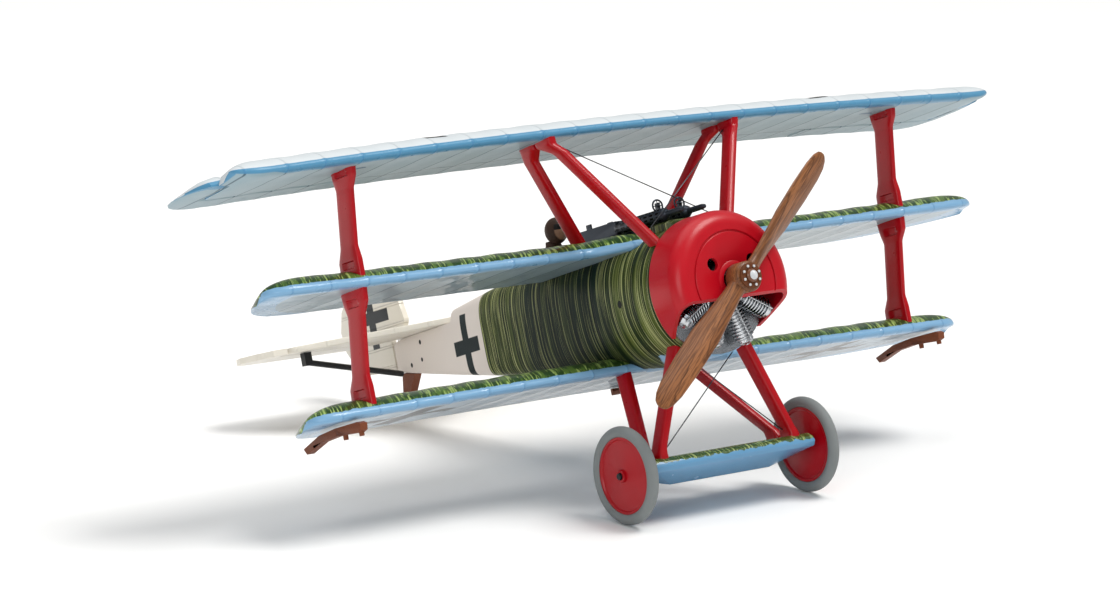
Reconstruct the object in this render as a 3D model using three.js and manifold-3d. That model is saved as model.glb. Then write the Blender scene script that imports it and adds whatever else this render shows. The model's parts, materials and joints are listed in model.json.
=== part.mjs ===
import * as THREE from 'three';
import { mergeVertices } from 'three/addons/utils/BufferGeometryUtils.js';
import Module from 'manifold-3d';

const wasm = await Module();
wasm.setup();

// A 1:48 model of a rotary-engined fighter triplane, in millimetres.
// Flight axes: +X to port, +Y aft along the thrust line, +Z up, origin on the propeller axis.
// The whole model is then tipped nose-up, so that it stands on its wheels and tail skid.

const standAngle = THREE.MathUtils.degToRad(18);
const seam = 0.1;                 // clear gap left between pieces that are fixed together
const hingeGap = 0.4;             // clear gap in front of a hinged surface

// Wings: leading edge, height of the flat underside, bow at the tips, half span, where the sweep
// of each tip starts, and where its thickness would run out.
const chord = 20.8;
const topWing = { leading: 13.5, base: 25.9, bow: -0.9, straight: 66, half: 72.8, taper: 75, lift: 0.05 };
const aileronWing = { ...topWing, half: 82, flare: 1.8 };
const middleWing = { leading: 18, base: 7.5, bow: 0.25, straight: 53, half: 68.4, taper: 68.4, fairing: 5.3 };
const lowerWing = { leading: 21.3, base: -10.55, bow: -0.5, straight: 47, half: 62.8, taper: 62.8 };
const airfoil = { camber: 0.05, peak: 0.3, thickness: 0.15, nose: 0.055, trailing: 0.2 };

// Engine, cowling and propeller.
const cowl = { radius: 11, wall: 0.6, front: -0.64, rear: 6.3, groove: 7.52, mouth: 2.3 };
const cylinderCount = 9;
const propeller = { radius: 26.2, angle: 40.5, boss: 2.35, front: -4.15, rear: -1, shaft: 0.85 };

// Landing gear: the wheel centre, and the axle wing between the wheels.
const wheel = { x: 17.54, y: 12.02, z: -25.58, radius: 7.42, disc: 5.75, axle: 0.5 };
const axleWing = { half: 15.4, leading: 6.9, trailing: 18.4, top: -23.9 };
const wheelSides = 40;

// Tail: hinge lines, tailplane height and half spans.
const tail = { apex: 71.8, hinge: 92.2, height: 6.3, thickness: 1, half: 23.6, hornHalf: 29.2, rear: 99.6 };
const rudderHinge = 93.1;
const strutX = 52.3;

const v3 = (x, y, z) => new THREE.Vector3(x, y, z);

// ---- Solids -------------------------------------------------------------------------------

// A closed geometry as a manifold solid, with coincident corners joined.
function solid(geometry) {
  const bare = new THREE.BufferGeometry();
  bare.setAttribute('position', geometry.getAttribute('position'));
  bare.setIndex(geometry.getIndex());
  const merged = mergeVertices(bare);
  const corners = merged.getIndex().array;
  const triVerts = [];
  for (let i = 0; i < corners.length; i += 3) {
    const [a, b, c] = corners.slice(i, i + 3);
    if (a !== b && b !== c && c !== a) triVerts.push(a, b, c);
  }
  const vertProperties = new Float32Array(merged.getAttribute('position').array);
  return new wasm.Manifold(new wasm.Mesh({ numProp: 3, vertProperties, triVerts: new Uint32Array(triVerts) }));
}

function geometryOf(manifold) {
  const { vertProperties, triVerts } = manifold.getMesh();
  const geometry = new THREE.BufferGeometry();
  geometry.setAttribute('position', new THREE.BufferAttribute(vertProperties, 3));
  geometry.setIndex(new THREE.BufferAttribute(triVerts, 1));
  geometry.computeVertexNormals();
  return geometry;
}

const join = (...parts) => geometryOf(parts.map(solid).reduce((a, b) => a.add(b)));
const cut = (part, ...tools) => geometryOf(tools.map(solid).reduce((a, b) => a.subtract(b), solid(part)));
const common = (a, b) => geometryOf(solid(a).intersect(solid(b)));
const moved = (geometry, x, y, z) => geometry.clone().translate(x, y, z);
const mirrored = (geometry) => flipped(geometry.clone().scale(-1, 1, 1));

// The same skin with every triangle wound the other way.
function flipped(geometry) {
  const index = geometry.getIndex().array;
  for (let i = 0; i < index.length; i += 3) [index[i], index[i + 1]] = [index[i + 1], index[i]];
  geometry.computeVertexNormals();
  return geometry;
}

// Triangles that close a flat ring, wound along the ring when `along` is true.
function capTriangles(ring, along) {
  const normal = v3(0, 0, 0);
  ring.forEach((point, i) => normal.add(v3(0, 0, 0).crossVectors(point, ring[(i + 1) % ring.length])));
  const size = [Math.abs(normal.x), Math.abs(normal.y), Math.abs(normal.z)];
  const drop = size.indexOf(Math.max(...size));
  const flat = ring.map((p) => [new THREE.Vector2(p.y, p.z), new THREE.Vector2(p.x, p.z),
    new THREE.Vector2(p.x, p.y)][drop]);
  const turn = Math.sign(THREE.ShapeUtils.area(flat));
  return THREE.ShapeUtils.triangulateShape(flat, []).flatMap(([a, b, c]) => {
    const same = Math.sign(THREE.ShapeUtils.area([flat[a], flat[b], flat[c]])) === turn;
    return same === along ? [a, b, c] : [c, b, a];
  });
}

// A closed skin through rings that all hold the same number of points.
function loft(rings) {
  const count = rings[0].length;
  const last = (rings.length - 1) * count;
  const index = capTriangles(rings[0], false);
  for (let i = 0; i < last; i += count) {
    for (let j = 0; j < count; j++) {
      const a = i + j;
      const b = i + (j + 1) % count;
      index.push(a, b, a + count, b, b + count, a + count);
    }
  }
  capTriangles(rings[rings.length - 1], true).forEach((corner) => index.push(corner + last));
  const geometry = new THREE.BufferGeometry().setFromPoints(rings.flat());
  geometry.setIndex(index);
  return volumeSign(geometry) < 0 ? flipped(geometry) : geometry;
}

// The sign of the volume inside a closed skin: negative when its faces point inward.
function volumeSign(geometry) {
  const position = geometry.getAttribute('position');
  const index = geometry.getIndex().array;
  const [a, b, c] = [v3(0, 0, 0), v3(0, 0, 0), v3(0, 0, 0)];
  let sum = 0;
  for (let i = 0; i < index.length; i += 3) {
    a.fromBufferAttribute(position, index[i]);
    b.fromBufferAttribute(position, index[i + 1]);
    c.fromBufferAttribute(position, index[i + 2]);
    sum += a.dot(b.cross(c));
  }
  return Math.sign(sum);
}

// An outline swept straight along one axis, from one value to another.
function plate(axis, outline, from, to) {
  const place = { x: (a, b, t) => v3(t, a, b), y: (a, b, t) => v3(a, t, b), z: (a, b, t) => v3(a, b, t) }[axis];
  return loft([from, to].map((t) => outline.map(([a, b]) => place(a, b, t))));
}

const box = (x0, x1, y0, y1, z0, z1) => plate('z', [[x0, y0], [x1, y0], [x1, y1], [x0, y1]], z0, z1);

// A profile of [radius, position] points turned about the Y axis.
function turned(profile, sides) {
  const points = profile.map(([radius, along]) => new THREE.Vector2(radius, along));
  const geometry = new THREE.LatheGeometry(points, sides);
  return volumeSign(geometry) < 0 ? flipped(geometry) : geometry;
}

const discProfile = (radius, from, to) => [[0, from], [radius, from], [radius, to], [0, to]];

// A straight round rod between two points.
function rod(from, to, radius, sides = 8) {
  const geometry = turned(discProfile(radius, 0, from.distanceTo(to)), sides);
  const along = to.clone().sub(from).normalize();
  geometry.applyQuaternion(new THREE.Quaternion().setFromUnitVectors(v3(0, 1, 0), along));
  return geometry.translate(from.x, from.y, from.z);
}

// A strut of streamlined section, through stations of [x, y, z, chord, thickness].
function strut(stations, sides = 10) {
  return loft(stations.map(([x, y, z, length, width]) => Array.from({ length: sides }, (_, i) => {
    const turn = (i + 0.5) / sides * 2 * Math.PI;
    return v3(x + width / 2 * Math.cos(turn), y + length / 2 * Math.sin(turn), z);
  })));
}

// ---- Wings --------------------------------------------------------------------------------

// Height of the airfoil above its chord line, per unit chord, at fraction t of the chord.
function airfoilHeight(t, side) {
  const { camber, peak, thickness, trailing } = airfoil;
  const half = 5 * thickness * (0.2969 * Math.sqrt(t) - 0.126 * t - 0.3516 * t ** 2 + 0.2843 * t ** 3
    - 0.1015 * t ** 4) + trailing / chord * t;
  const mean = t < peak ? camber * (2 * peak * t - t * t) / peak ** 2
    : camber * (1 - 2 * peak + 2 * peak * t - t * t) / (1 - peak) ** 2;
  return mean + side * half;
}

// One airfoil ring at span x, from the upper trailing edge round the nose to the lower one.
function wingRing(wing, x, grow) {
  const past = (from, to) => THREE.MathUtils.clamp((Math.abs(x) - from) / (to - from), 0, 1);
  const rounded = (from) => 1 - Math.sqrt(1 - past(from, wing.half) ** 2);
  const fairing = Math.min(wing.fairing ?? 0, Math.max(0, 11 - Math.abs(x)));
  const leading = wing.leading - fairing + 0.15 * chord * rounded(wing.half - 3.2) - grow;
  const swept = 1 - 0.5 * past(wing.straight, wing.half) ** 2 - 0.25 * rounded(wing.straight);
  const trailing = wing.leading + chord * swept + (wing.flare ?? 0) + grow;
  const depth = chord * (0.2 + 0.8 * Math.sqrt(1 - past(wing.taper - 9, wing.taper) ** 2));
  const base = wing.base + wing.bow * (x / 60) ** 2 + (wing.lift ?? 0) * (chord - depth);
  const steps = 9;
  return Array.from({ length: 2 * steps + 1 }, (_, i) => {
    const turn = i / steps - 1;
    const t = turn * turn;
    const side = -Math.sign(turn);
    const z = base + airfoil.nose * chord * (1 - t) + depth * airfoilHeight(t, side) + side * grow;
    return v3(x, THREE.MathUtils.lerp(leading, trailing, t), z);
  });
}

// A whole wing panel from tip to tip; `grow` swells it to make the clearance for its neighbours.
function wingPanel(wing, grow = 0) {
  const inner = [0, 5.7, 11, 20, 30, 40].filter((x) => x < wing.straight);
  const tip = [0, 0.35, 0.6, 0.78, 0.9, 0.97, 1].map((s) => wing.straight + s * (wing.half - wing.straight));
  const half = [...inner, ...tip];
  const stations = [...half.slice(1).reverse().map((x) => -x), ...half];
  return loft(stations.map((x) => wingRing(wing, x, grow)));
}

// Plan outline of the port aileron with its balance horn, swollen by `grow` at its front and root.
function aileronPlan(grow) {
  const hinge = topWing.leading + 15.4 - grow;
  const [root, step] = [44.3 - grow, 71.2 - grow];
  const horn = [[step, 20.8 - grow], [73.6, 21 - grow], [74.5, 22.8], [74.9, 26], [74.9, 31], [74.2, 33.2],
    [72.4, 34.9], [70, 35.4]];
  return plate('z', [[root, hinge], [step, hinge], ...horn, [66, 35.4], [55, 34.8], [root, 34.3]], 10, 40);
}

// The wing is cut clear of the aileron and of everything behind it.
const aileronBay = () => join(aileronPlan(hingeGap), box(70.8, 90, 20.8 - hingeGap, 60, 10, 40),
  box(44.3 - hingeGap, 90, 32, 60, 10, 40));
const aileron = () => common(wingPanel(aileronWing), aileronPlan(0));
const topWingPanel = () => cut(wingPanel(topWing), aileronBay(), mirrored(aileronBay()));

// The middle wing has a bay in its trailing edge, just ahead of the cockpit.
function middleWingPanel() {
  const bay = [[-5.6, 45], [-5.6, 37], [-4.2, 35.4], [4.2, 35.4], [5.6, 37], [5.6, 45]];
  return cut(wingPanel(middleWing), plate('z', bay, 0, 20));
}

// ---- Fuselage and cockpit -----------------------------------------------------------------

// Stations: y, half width, deck height, keel height, squareness above and below the waist.
const fuselageStations = [
  [6.6, 10.4, 10.4, -10.4, 2, 2],
  [11, 10, 10.35, -10.5, 2.1, 2.05],
  [17, 9.2, 10.3, -10.5, 2.3, 2.1],
  [24, 8.5, 10.2, -10.2, 2.6, 2.3],
  [32, 7.9, 10.2, -9.4, 2.8, 2.7],
  [40, 7.1, 10.1, -8.2, 3, 3.4],
  [48, 6.2, 9.9, -6.9, 3, 4.4],
  [59, 4.8, 9.3, -5.1, 3.2, 6],
  [71.5, 3.3, 7.9, -3.1, 4, 8],
  [82, 2, 6.6, -1.4, 5, 8],
  [92.6, 0.7, 5.4, 0.35, 6, 8],
];

function fuselageRing([y, half, deck, keel, squareAbove, squareBelow], grow) {
  const waist = (deck + keel) / 2;
  const count = 28;
  return Array.from({ length: count }, (_, i) => {
    const turn = i / count * 2 * Math.PI;
    const power = 2 / (Math.sin(turn) > 0 ? squareAbove : squareBelow);
    const across = Math.sign(Math.cos(turn)) * Math.abs(Math.cos(turn)) ** power;
    const up = Math.sign(Math.sin(turn)) * Math.abs(Math.sin(turn)) ** power;
    return v3((half + grow) * across, y, waist + ((deck - keel) / 2 + grow) * up);
  });
}

const fuselageSkin = (grow) => loft(fuselageStations.map((station) => fuselageRing(station, grow)));

// An oval in plan: half width a, half length b, about the cockpit's centre.
const cockpitOval = (a, b) => Array.from({ length: 20 }, (_, i) => {
  const turn = i / 20 * 2 * Math.PI;
  return [a * Math.cos(turn), 42.9 + b * Math.sin(turn)];
});

// The outlet lip under the nose, ahead of the lower wing.
const bellyOutlet = () => plate('x', [[14, -9.5], [14.6, -10.9], [19.8, -11.5], [20.6, -11], [20.6, -9.5]], -3, 3);

// The tapering hull, cut away over the middle wing, under the lower wing and at the cockpit.
function fuselage() {
  const overWing = [[-20, 12.3], [20, 12.3], [20, 39.2], [5.2, 39.2], [5.2, 34.9], [-5.2, 34.9],
    [-5.2, 39.2], [-20, 39.2]];
  const wingSeat = middleWing.base + 1;
  return cut(
    join(fuselageSkin(0), bellyOutlet()),
    wingPanel(middleWing, seam),
    plate('z', overWing, wingSeat, 20),
    wingPanel(lowerWing, seam),
    box(-20, 20, lowerWing.leading - seam, lowerWing.leading + chord + seam, -20, lowerWing.base + 1),
    plate('z', cockpitOval(4.3, 4.4), -2, 20),
    box(-20, 20, tail.apex - 1, 100, tail.height - tail.thickness / 2 - seam, 20),
  );
}

// A padded ring that follows the deck around the cockpit.
function cockpitCoaming() {
  const ring = cut(plate('z', cockpitOval(4.95, 5.05), 4, 14), plate('z', cockpitOval(4.3, 4.4), 3, 15));
  return cut(common(ring, fuselageSkin(0.65)), fuselageSkin(seam));
}

const pilotSeat = () => plate('x', [[40.4, -1.9], [45.9, -1.9], [46.3, 6.5], [45.7, 6.5],
  [45.35, -1.2], [40.4, -1.2]], -2.6, 2.6);

const pilotBody = () => strut([[0, 43.2, -1, 4, 4.4], [0, 43.2, 5, 4, 5.4], [0, 43.1, 10, 3.8, 6.6],
  [0, 43, 12, 3.2, 6.2], [0, 42.8, 12.9, 2.2, 3.6]], 14);

const pilotHead = () => moved(new THREE.SphereGeometry(2.35, 14, 10).scale(0.94, 1.06, 1), 0, 41.6, 15.5);

// A low rounded cover over the ammunition feed, resting on the foredeck.
function ammunitionHump() {
  const rings = [8.2, 9, 13, 14.4].map((y, i) => {
    const half = [2.6, 3.6, 3.6, 2.8][i];
    const top = [10.9, 11.2, 11.2, 10.9][i];
    return [[-half, 9], [-half, top - 0.4], [-half * 0.7, top], [half * 0.7, top], [half, top - 0.4], [half, 9]]
      .map(([x, z]) => v3(x, y, z));
  });
  return cut(loft(rings), fuselageSkin(seam), wingPanel(middleWing, seam));
}

// ---- Engine and propeller -----------------------------------------------------------------

// A drum with a rounded rim, a ring groove and two round holes in its face, open underneath.
function engineCowling() {
  const { radius, wall, front, rear, groove, mouth } = cowl;
  const rim = 2.4;
  const arc = [0, 1, 2, 3, 4].map((i) => i / 4 * Math.PI / 2);
  const outer = arc.map((a) => [radius - rim + rim * Math.sin(a), front + rim - rim * Math.cos(a)]);
  const inner = arc.map((a) => [radius - rim + (rim - wall) * Math.sin(a),
    front + rim - (rim - wall) * Math.cos(a)]).reverse();
  const face = [[2.2, front + wall], [2.2, front], [groove - 0.12, front], [groove - 0.12, front + 0.2],
    [groove + 0.12, front + 0.2], [groove + 0.12, front]];
  const profile = [...face, ...outer, [radius, rear], [radius - wall, rear], ...inner, face[0]];
  const holes = [-3.76, 3.76].map((x) => moved(turned(discProfile(0.95, -3, 3), 16), x, 0, 2.76));
  const slope = 0.66;
  const open = [[-3, -mouth - slope * (-3 - front)], [9, -mouth - slope * (9 - front)], [9, -20], [-3, -20]];
  return cut(turned(profile, 40), ...holes, plate('x', open, -20, 20));
}

const firewall = () => turned(discProfile(10.2, 5.9, 6.2), 32);
const crankcase = () => turned([[1.2, 1], [2.6, 1], [3.4, 1.6], [3.4, 5.8], [1.2, 5.8], [1.2, 1]], 18);

// A finned barrel standing on the crankcase, along +Z.
function engineCylinder() {
  const fins = [0, 1, 2, 3].flatMap((i) => {
    const base = 4.9 + i;
    return [[1.15, base], [1.5, base + 0.4]];
  });
  const profile = [[0, 3.75], [1, 3.75], [1, 4.8], ...fins, [1.3, 8.9], [1.3, 9.4], [0.8, 9.9], [0, 9.9]];
  return turned(profile, 8).rotateX(Math.PI / 2);
}

// One blade along +Z: rings of [radius, chord, thickness, pitch] twisted about the blade's axis.
function propellerBlade() {
  const stations = [[1, 2.6, 2.4, 60], [3.6, 2.9, 2, 48], [7, 3.5, 1.6, 37], [12, 4.2, 1.2, 28],
    [18, 4.1, 0.9, 21], [22.6, 3.4, 0.7, 18], [25.2, 2.2, 0.55, 16], [propeller.radius, 0.9, 0.4, 16]];
  return loft(stations.map(([radius, length, width, pitch]) => Array.from({ length: 12 }, (_, i) => {
    const turn = i / 12 * 2 * Math.PI;
    const along = length / 2 * Math.cos(turn);
    const across = width / 2 * Math.sin(turn);
    const lean = THREE.MathUtils.degToRad(pitch);
    return v3(-along * Math.cos(lean) - across * Math.sin(lean), -2.5 - along * Math.sin(lean)
      + across * Math.cos(lean), radius);
  })));
}

function propellerBlades() {
  const { boss, front, rear, shaft } = propeller;
  const blade = propellerBlade();
  const body = join(turned(discProfile(boss, front, rear), 24), blade, blade.clone().rotateY(Math.PI));
  return cut(body, turned(discProfile(shaft + seam, front - 1, rear + 1), 16));
}

const propellerShaft = () => turned(discProfile(propeller.shaft, -4.45, 5.6), 16);

// A steel ring with eight bolt heads, on the front of the boss.
function hubPlate() {
  const bore = propeller.shaft + seam;
  const plateRear = propeller.front - seam;
  const ring = turned([[bore, plateRear], [1.95, plateRear], [1.95, plateRear - 0.25], [bore, plateRear - 0.25],
    [bore, plateRear]], 24);
  const bolts = Array.from({ length: 8 }, (_, i) => {
    const turn = (i + 0.5) / 8 * 2 * Math.PI;
    const bolt = turned(discProfile(0.22, plateRear - 0.5, plateRear - 0.1), 6);
    return moved(bolt, 1.5 * Math.cos(turn), 0, 1.5 * Math.sin(turn));
  });
  return join(ring, ...bolts);
}

const propellerNut = () => turned([[0, -4.58], [1, -4.58], [1, -4.8], [0.8, -4.85], [0.75, -5.1], [0.5, -5.4],
  [0, -5.5]], 16);

// ---- Struts and landing gear --------------------------------------------------------------

const upperStrut = () => cut(strut([[strutX, 21.5, 9, 5.5, 1.5], [strutX, 21.4, 12.6, 5.3, 1.5],
  [strutX, 21.1, 14.2, 4.1, 1.15], [strutX, 19.4, 22.9, 4.1, 1.15], [strutX, 19, 24.2, 5.4, 1.5],
  [strutX, 18.9, 26.6, 6.1, 1.5]]), wingPanel(topWing, seam), wingPanel(middleWing, seam));

const lowerStrut = () => cut(strut([[strutX, 24.9, -9.6, 5.6, 1.5], [strutX, 24.8, -5.8, 5.4, 1.5],
  [strutX, 24.4, -4.4, 4.1, 1.15], [strutX, 22.5, 4.7, 4.1, 1.15], [strutX, 22.1, 6, 5.6, 1.5],
  [strutX, 22.1, 8.7, 6.4, 1.5]]), wingPanel(middleWing, seam), wingPanel(lowerWing, seam));

// Cabane legs splay from the top wing down to the foredeck and to the middle wing.
const cabaneFront = () => cut(strut([[6.6, 8, 7.5, 2.3, 1.3], [16.4, 14.3, 24, 2.3, 1.3],
  [17.6, 15.9, 25.4, 4, 1.9], [17.8, 15.9, 26.8, 4.2, 1.9]]), wingPanel(topWing, seam), fuselageSkin(seam));

const cabaneRear = () => cut(strut([[7, 26, 9.6, 2.5, 1.3], [16.6, 21.8, 24, 2.5, 1.3],
  [17.6, 20.2, 25.4, 3.8, 1.9], [17.8, 20.2, 26.8, 4, 1.9]]), wingPanel(topWing, seam),
wingPanel(middleWing, seam));

// The small lifting surface around the axle, with a keeled belly that tapers towards its ends.
function axleWingRing(x, belly, grow) {
  const { leading, trailing, top } = axleWing;
  return [[leading - grow, -25.4], [leading + 0.3, -24.6 + grow], [leading + 1.3, top - 0.15 + grow],
    [leading + 3.6, top + grow], [leading + 7, top - 0.25 + grow], [trailing + grow, top - 1.2],
    [trailing + grow, top - 1.6 - grow], [leading + 5.2, belly - grow], [leading + 0.4, -26.1 - grow]]
    .map(([y, z]) => v3(x, y, z));
}

function axleWingPanel(grow = 0) {
  const end = axleWing.half + grow;
  return loft([[-end, -26.8], [-9.5, -28.1], [9.5, -28.1], [end, -26.8]]
    .map(([x, belly]) => axleWingRing(x, belly, grow)));
}

const axleRod = (radius, half) => rod(v3(-half, wheel.y, wheel.z), v3(half, wheel.y, wheel.z), radius, 16);

// Each gear leg ends in a small foot on the axle wing.
const gearFront = () => cut(strut([[12.75, 9.5, -24.6, 3.3, 2.1], [12.7, 9.5, -23.4, 3.1, 1.9],
  [12.5, 9.5, -22.9, 2.3, 1.3], [6, 9, -7.5, 2.4, 1.3]]), fuselageSkin(seam), axleWingPanel(seam));

const gearRear = () => cut(strut([[12.75, 13.1, -24.8, 3.2, 2.1], [12.7, 13.1, -23.5, 3, 1.9],
  [12.5, 13.3, -22.9, 2.3, 1.3], [6, 23.3, -9.3, 2.5, 1.3]]), fuselageSkin(seam), wingPanel(lowerWing, seam),
axleWingPanel(seam));

// Tyre and disc turn about X; a facet of the tread faces straight down.
const wheelTurned = (profile) => turned(profile, wheelSides).rotateZ(-Math.PI / 2)
  .rotateX(Math.PI / wheelSides);

function tyre() {
  const outer = wheel.radius / Math.cos(Math.PI / wheelSides);
  const inner = wheel.disc + seam;
  return wheelTurned([[inner, -0.55], [6.3, -0.95], [outer - 0.4, -0.75], [outer, -0.35], [outer, 0.35],
    [outer - 0.4, 0.75], [6.3, 0.95], [inner, 0.55], [inner, -0.55]]);
}

// The dished disc, its raised rim and the collar around the axle; +Y in the profile is outboard.
function wheelDisc() {
  const bore = wheel.axle + 0.08;
  return wheelTurned([[bore, -0.9], [1.2, -0.9], [5.2, -0.3], [wheel.disc, -0.5], [wheel.disc, 0.5],
    [5.2, 0.25], [0.9, 0.6], [0.85, 1.05], [bore, 1.05], [bore, -0.9]]);
}

// ---- Tail ---------------------------------------------------------------------------------

const tailSlab = (outline) => plate('z', outline, tail.height - tail.thickness / 2, tail.height + tail.thickness / 2);

function tailplane() {
  const { apex, hinge, half } = tail;
  const rear = hinge - 0.7;
  const port = [[0.8, apex], [half - 3, rear - 5.2], [half - 0.6, rear - 3.2], [half, rear - 1.6], [half, rear]];
  return tailSlab([...port, ...port.map(([x, y]) => [-x, y]).reverse()]);
}

// Two elevator panels with balance horns, joined by a round tube ahead of the rudder.
function elevator() {
  const { hinge, half, hornHalf, rear, height } = tail;
  const front = hinge - 0.3;
  const port = tailSlab([[1.2, front], [half + 0.4, front], [half + 0.4, hinge - 3.4], [half + 2.6, hinge - 2.6],
    [hornHalf - 1, hinge + 0.6], [hornHalf, hinge + 3.6], [hornHalf - 0.8, rear - 1.4], [hornHalf - 3, rear],
    [4.9, rear]]);
  return join(port, mirrored(port), rod(v3(-2.4, hinge, height), v3(2.4, hinge, height), 0.45, 12));
}

// The rounded rudder: the straight front edge stands on the hinge, the balance reaches forward above.
function rudder() {
  const front = rudderHinge + 0.3;
  const bow = Array.from({ length: 11 }, (_, i) => {
    const turn = THREE.MathUtils.degToRad(-70 + i * 25);
    return [98.4 + 10.1 * Math.cos(turn), 9 + 8.2 * Math.sin(turn)];
  });
  const outline = [[front, 0.7], ...bow, [88.4, 8.6], [89, 7.6], [front, 7.6]];
  const knuckles = [1.4, 4].map((z) => rod(v3(0, rudderHinge, z), v3(0, rudderHinge, z + 0.8), 0.3, 8));
  const lugs = [1.5, 4.1].map((z) => box(-0.2, 0.2, rudderHinge, front + 0.3, z, z + 0.6));
  return join(plate('x', outline, -0.5, 0.5), ...knuckles, ...lugs);
}

// A thin black brace from the stern to a bracket under the tailplane.
function tailStrut() {
  const underside = tail.height - tail.thickness / 2 - seam;
  const foot = v3(1.75, 90, -0.1);
  const head = v3(20.2, 89.3, 4);
  return join(rod(foot, head, 0.5, 8), box(19.6, 21, 88.7, 90, 3.5, underside));
}

// ---- Skids, guns and small fittings -------------------------------------------------------

// Height of the ground below the thrust line at y, for the tipped standing attitude.
const groundAt = (y) => wheel.z - wheel.radius / Math.cos(standAngle) + (y - wheel.y) * Math.tan(standAngle);

const tailSkid = () => cut(plate('x', [[87.6, -0.2], [91.4, 0.4], [92.4, -3.4], [93.6, -5.8],
  [94, groundAt(94)], [90.8, groundAt(90.8)], [90.5, -6.2], [90.2, -3.4]], -0.75, 0.75), fuselageSkin(seam));

// A bent wooden skid under each lower wing tip, with two short pegs.
function wingSkid() {
  const outline = [[19.8, -11.3], [20, -12.3], [21, -12.6], [26.5, -12.3], [31, -12.6], [35.6, -13.8],
    [36.3, -12.9], [31.4, -11.5], [26.8, -11.1], [20.6, -11]];
  const runner = plate('x', outline, -0.65, 0.65);
  const pegs = [20.8, 25.2].map((y) => rod(v3(0, y, -13.1), v3(0, y, -11.6), 0.4));
  return moved(join(runner, ...pegs), 56.3, 0, 0);
}

// A gun on the foredeck: muzzle, cooling jacket, breech box and the sight above.
function machineGun() {
  const barrel = turned([[0, 5.9], [0.32, 5.9], [0.45, 6.6], [0.45, 9.8], [0.8, 10.1], [1, 10.5], [1, 22.5],
    [0, 22.5]], 12);
  const breech = box(-0.85, 0.85, 22, 31.5, -1.05, 1.15);
  const sights = [[11.4, 12.4], [29.4, 30.6]].map(([y0, y1]) => box(-0.15, 0.15, y0, y1, 0.5, 2));
  return moved(join(barrel, breech, ...sights), 2.1, 0, 12.35);
}

// A bent-strip step that hangs under the port side.
const boardingStep = () => cut(plate('x', [[36.8, -11.2], [36.9, -11.9], [41.3, -11.9], [41.4, -10],
  [40.8, -10], [40.7, -11.3]], 4.4, 5.8), wingPanel(lowerWing, seam));

// Crossed bracing wires; the two of a pair pass fore and aft of each other.
const wireRadius = 0.09;
const cabaneWire = (offset) => rod(v3(16, 15 + offset, 24.9), v3(-6.7, 8.3 + offset, 10.4), wireRadius, 8);
const gearWire = (offset) => rod(v3(5, 8.9 + offset, -9.6), v3(-11.2, 9.4 + offset, -22.9), wireRadius, 8);

// ---- Assembly -----------------------------------------------------------------------------

const finishes = {
  olive: [0x4d5a2c, 0.42, 0], cream: [0xece6da, 0.4, 0], blue: [0x8fb9dc, 0.38, 0], green: [0x3c5522, 0.4, 0],
  red: [0xb8101c, 0.35, 0], wood: [0x8a5330, 0.45, 0], brown: [0x6b3a22, 0.55, 0], steel: [0xb9bcc0, 0.3, 1],
  chrome: [0xd6d8da, 0.12, 1], gunmetal: [0x24262a, 0.4, 0.6], tyre: [0x8d8f8a, 0.7, 0],
  leather: [0x5a3826, 0.6, 0], black: [0x17181a, 0.45, 0], wire: [0x55585c, 0.4, 0.8],
};

const model = new THREE.Group();
const aircraft = new THREE.Group();
model.add(aircraft);

function add(name, geometry, finish, parent = aircraft) {
  const [color, roughness, metalness] = finishes[finish];
  const mesh = new THREE.Mesh(geometry, new THREE.MeshStandardMaterial({ color, roughness, metalness }));
  mesh.name = name;
  parent.add(mesh);
  return mesh;
}

// A port piece and its mirror image to starboard.
function addPair(name, geometry, finish) {
  add(`${name}_port`, geometry, finish);
  add(`${name}_starboard`, mirrored(geometry), finish);
}

add('fuselage', fuselage(), 'olive');
add('cockpit_coaming', cockpitCoaming(), 'leather');
add('pilot_seat', pilotSeat(), 'brown');
add('pilot_body', pilotBody(), 'leather');
add('pilot_head', pilotHead(), 'leather');
add('ammunition_hump', ammunitionHump(), 'green');

add('engine_cowling', engineCowling(), 'red');
add('firewall', firewall(), 'steel');
add('crankcase', crankcase(), 'steel');
for (let i = 0; i < cylinderCount; i++) {
  const cylinder = add(`cylinder_${i + 1}`, engineCylinder(), 'chrome');
  cylinder.position.y = 3.7;
  cylinder.rotation.y = i / cylinderCount * 2 * Math.PI;
}

const spinner = new THREE.Group();
spinner.rotation.y = THREE.MathUtils.degToRad(90 - propeller.angle);
aircraft.add(spinner);
add('propeller', propellerBlades(), 'wood', spinner);
add('propeller_shaft', propellerShaft(), 'steel', spinner);
add('hub_plate', hubPlate(), 'steel', spinner);
add('propeller_nut', propellerNut(), 'steel', spinner);

add('top_wing', topWingPanel(), 'blue');
add('middle_wing', middleWingPanel(), 'green');
add('lower_wing', wingPanel(lowerWing), 'green');
addPair('aileron', aileron(), 'blue');
addPair('upper_strut', upperStrut(), 'red');
addPair('lower_strut', lowerStrut(), 'red');
addPair('cabane_front', cabaneFront(), 'red');
addPair('cabane_rear', cabaneRear(), 'red');
add('cabane_wire_1', cabaneWire(0.3), 'wire');
add('cabane_wire_2', mirrored(cabaneWire(-0.3)), 'wire');

addPair('gear_front', gearFront(), 'red');
addPair('gear_rear', gearRear(), 'red');
add('gear_wire_1', gearWire(0.3), 'wire');
add('gear_wire_2', mirrored(gearWire(-0.3)), 'wire');
add('axle_wing', cut(axleWingPanel(), axleRod(wheel.axle + seam, 20)), 'green');
add('axle', axleRod(wheel.axle, wheel.x + 1.45), 'black');
for (const [side, sign] of [['port', 1], ['starboard', -1]]) {
  const hub = new THREE.Group();
  hub.position.set(sign * wheel.x, wheel.y, wheel.z);
  hub.rotation.z = sign > 0 ? 0 : Math.PI;
  aircraft.add(hub);
  add(`tyre_${side}`, tyre(), 'tyre', hub);
  add(`wheel_disc_${side}`, wheelDisc(), 'red', hub);
}

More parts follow.
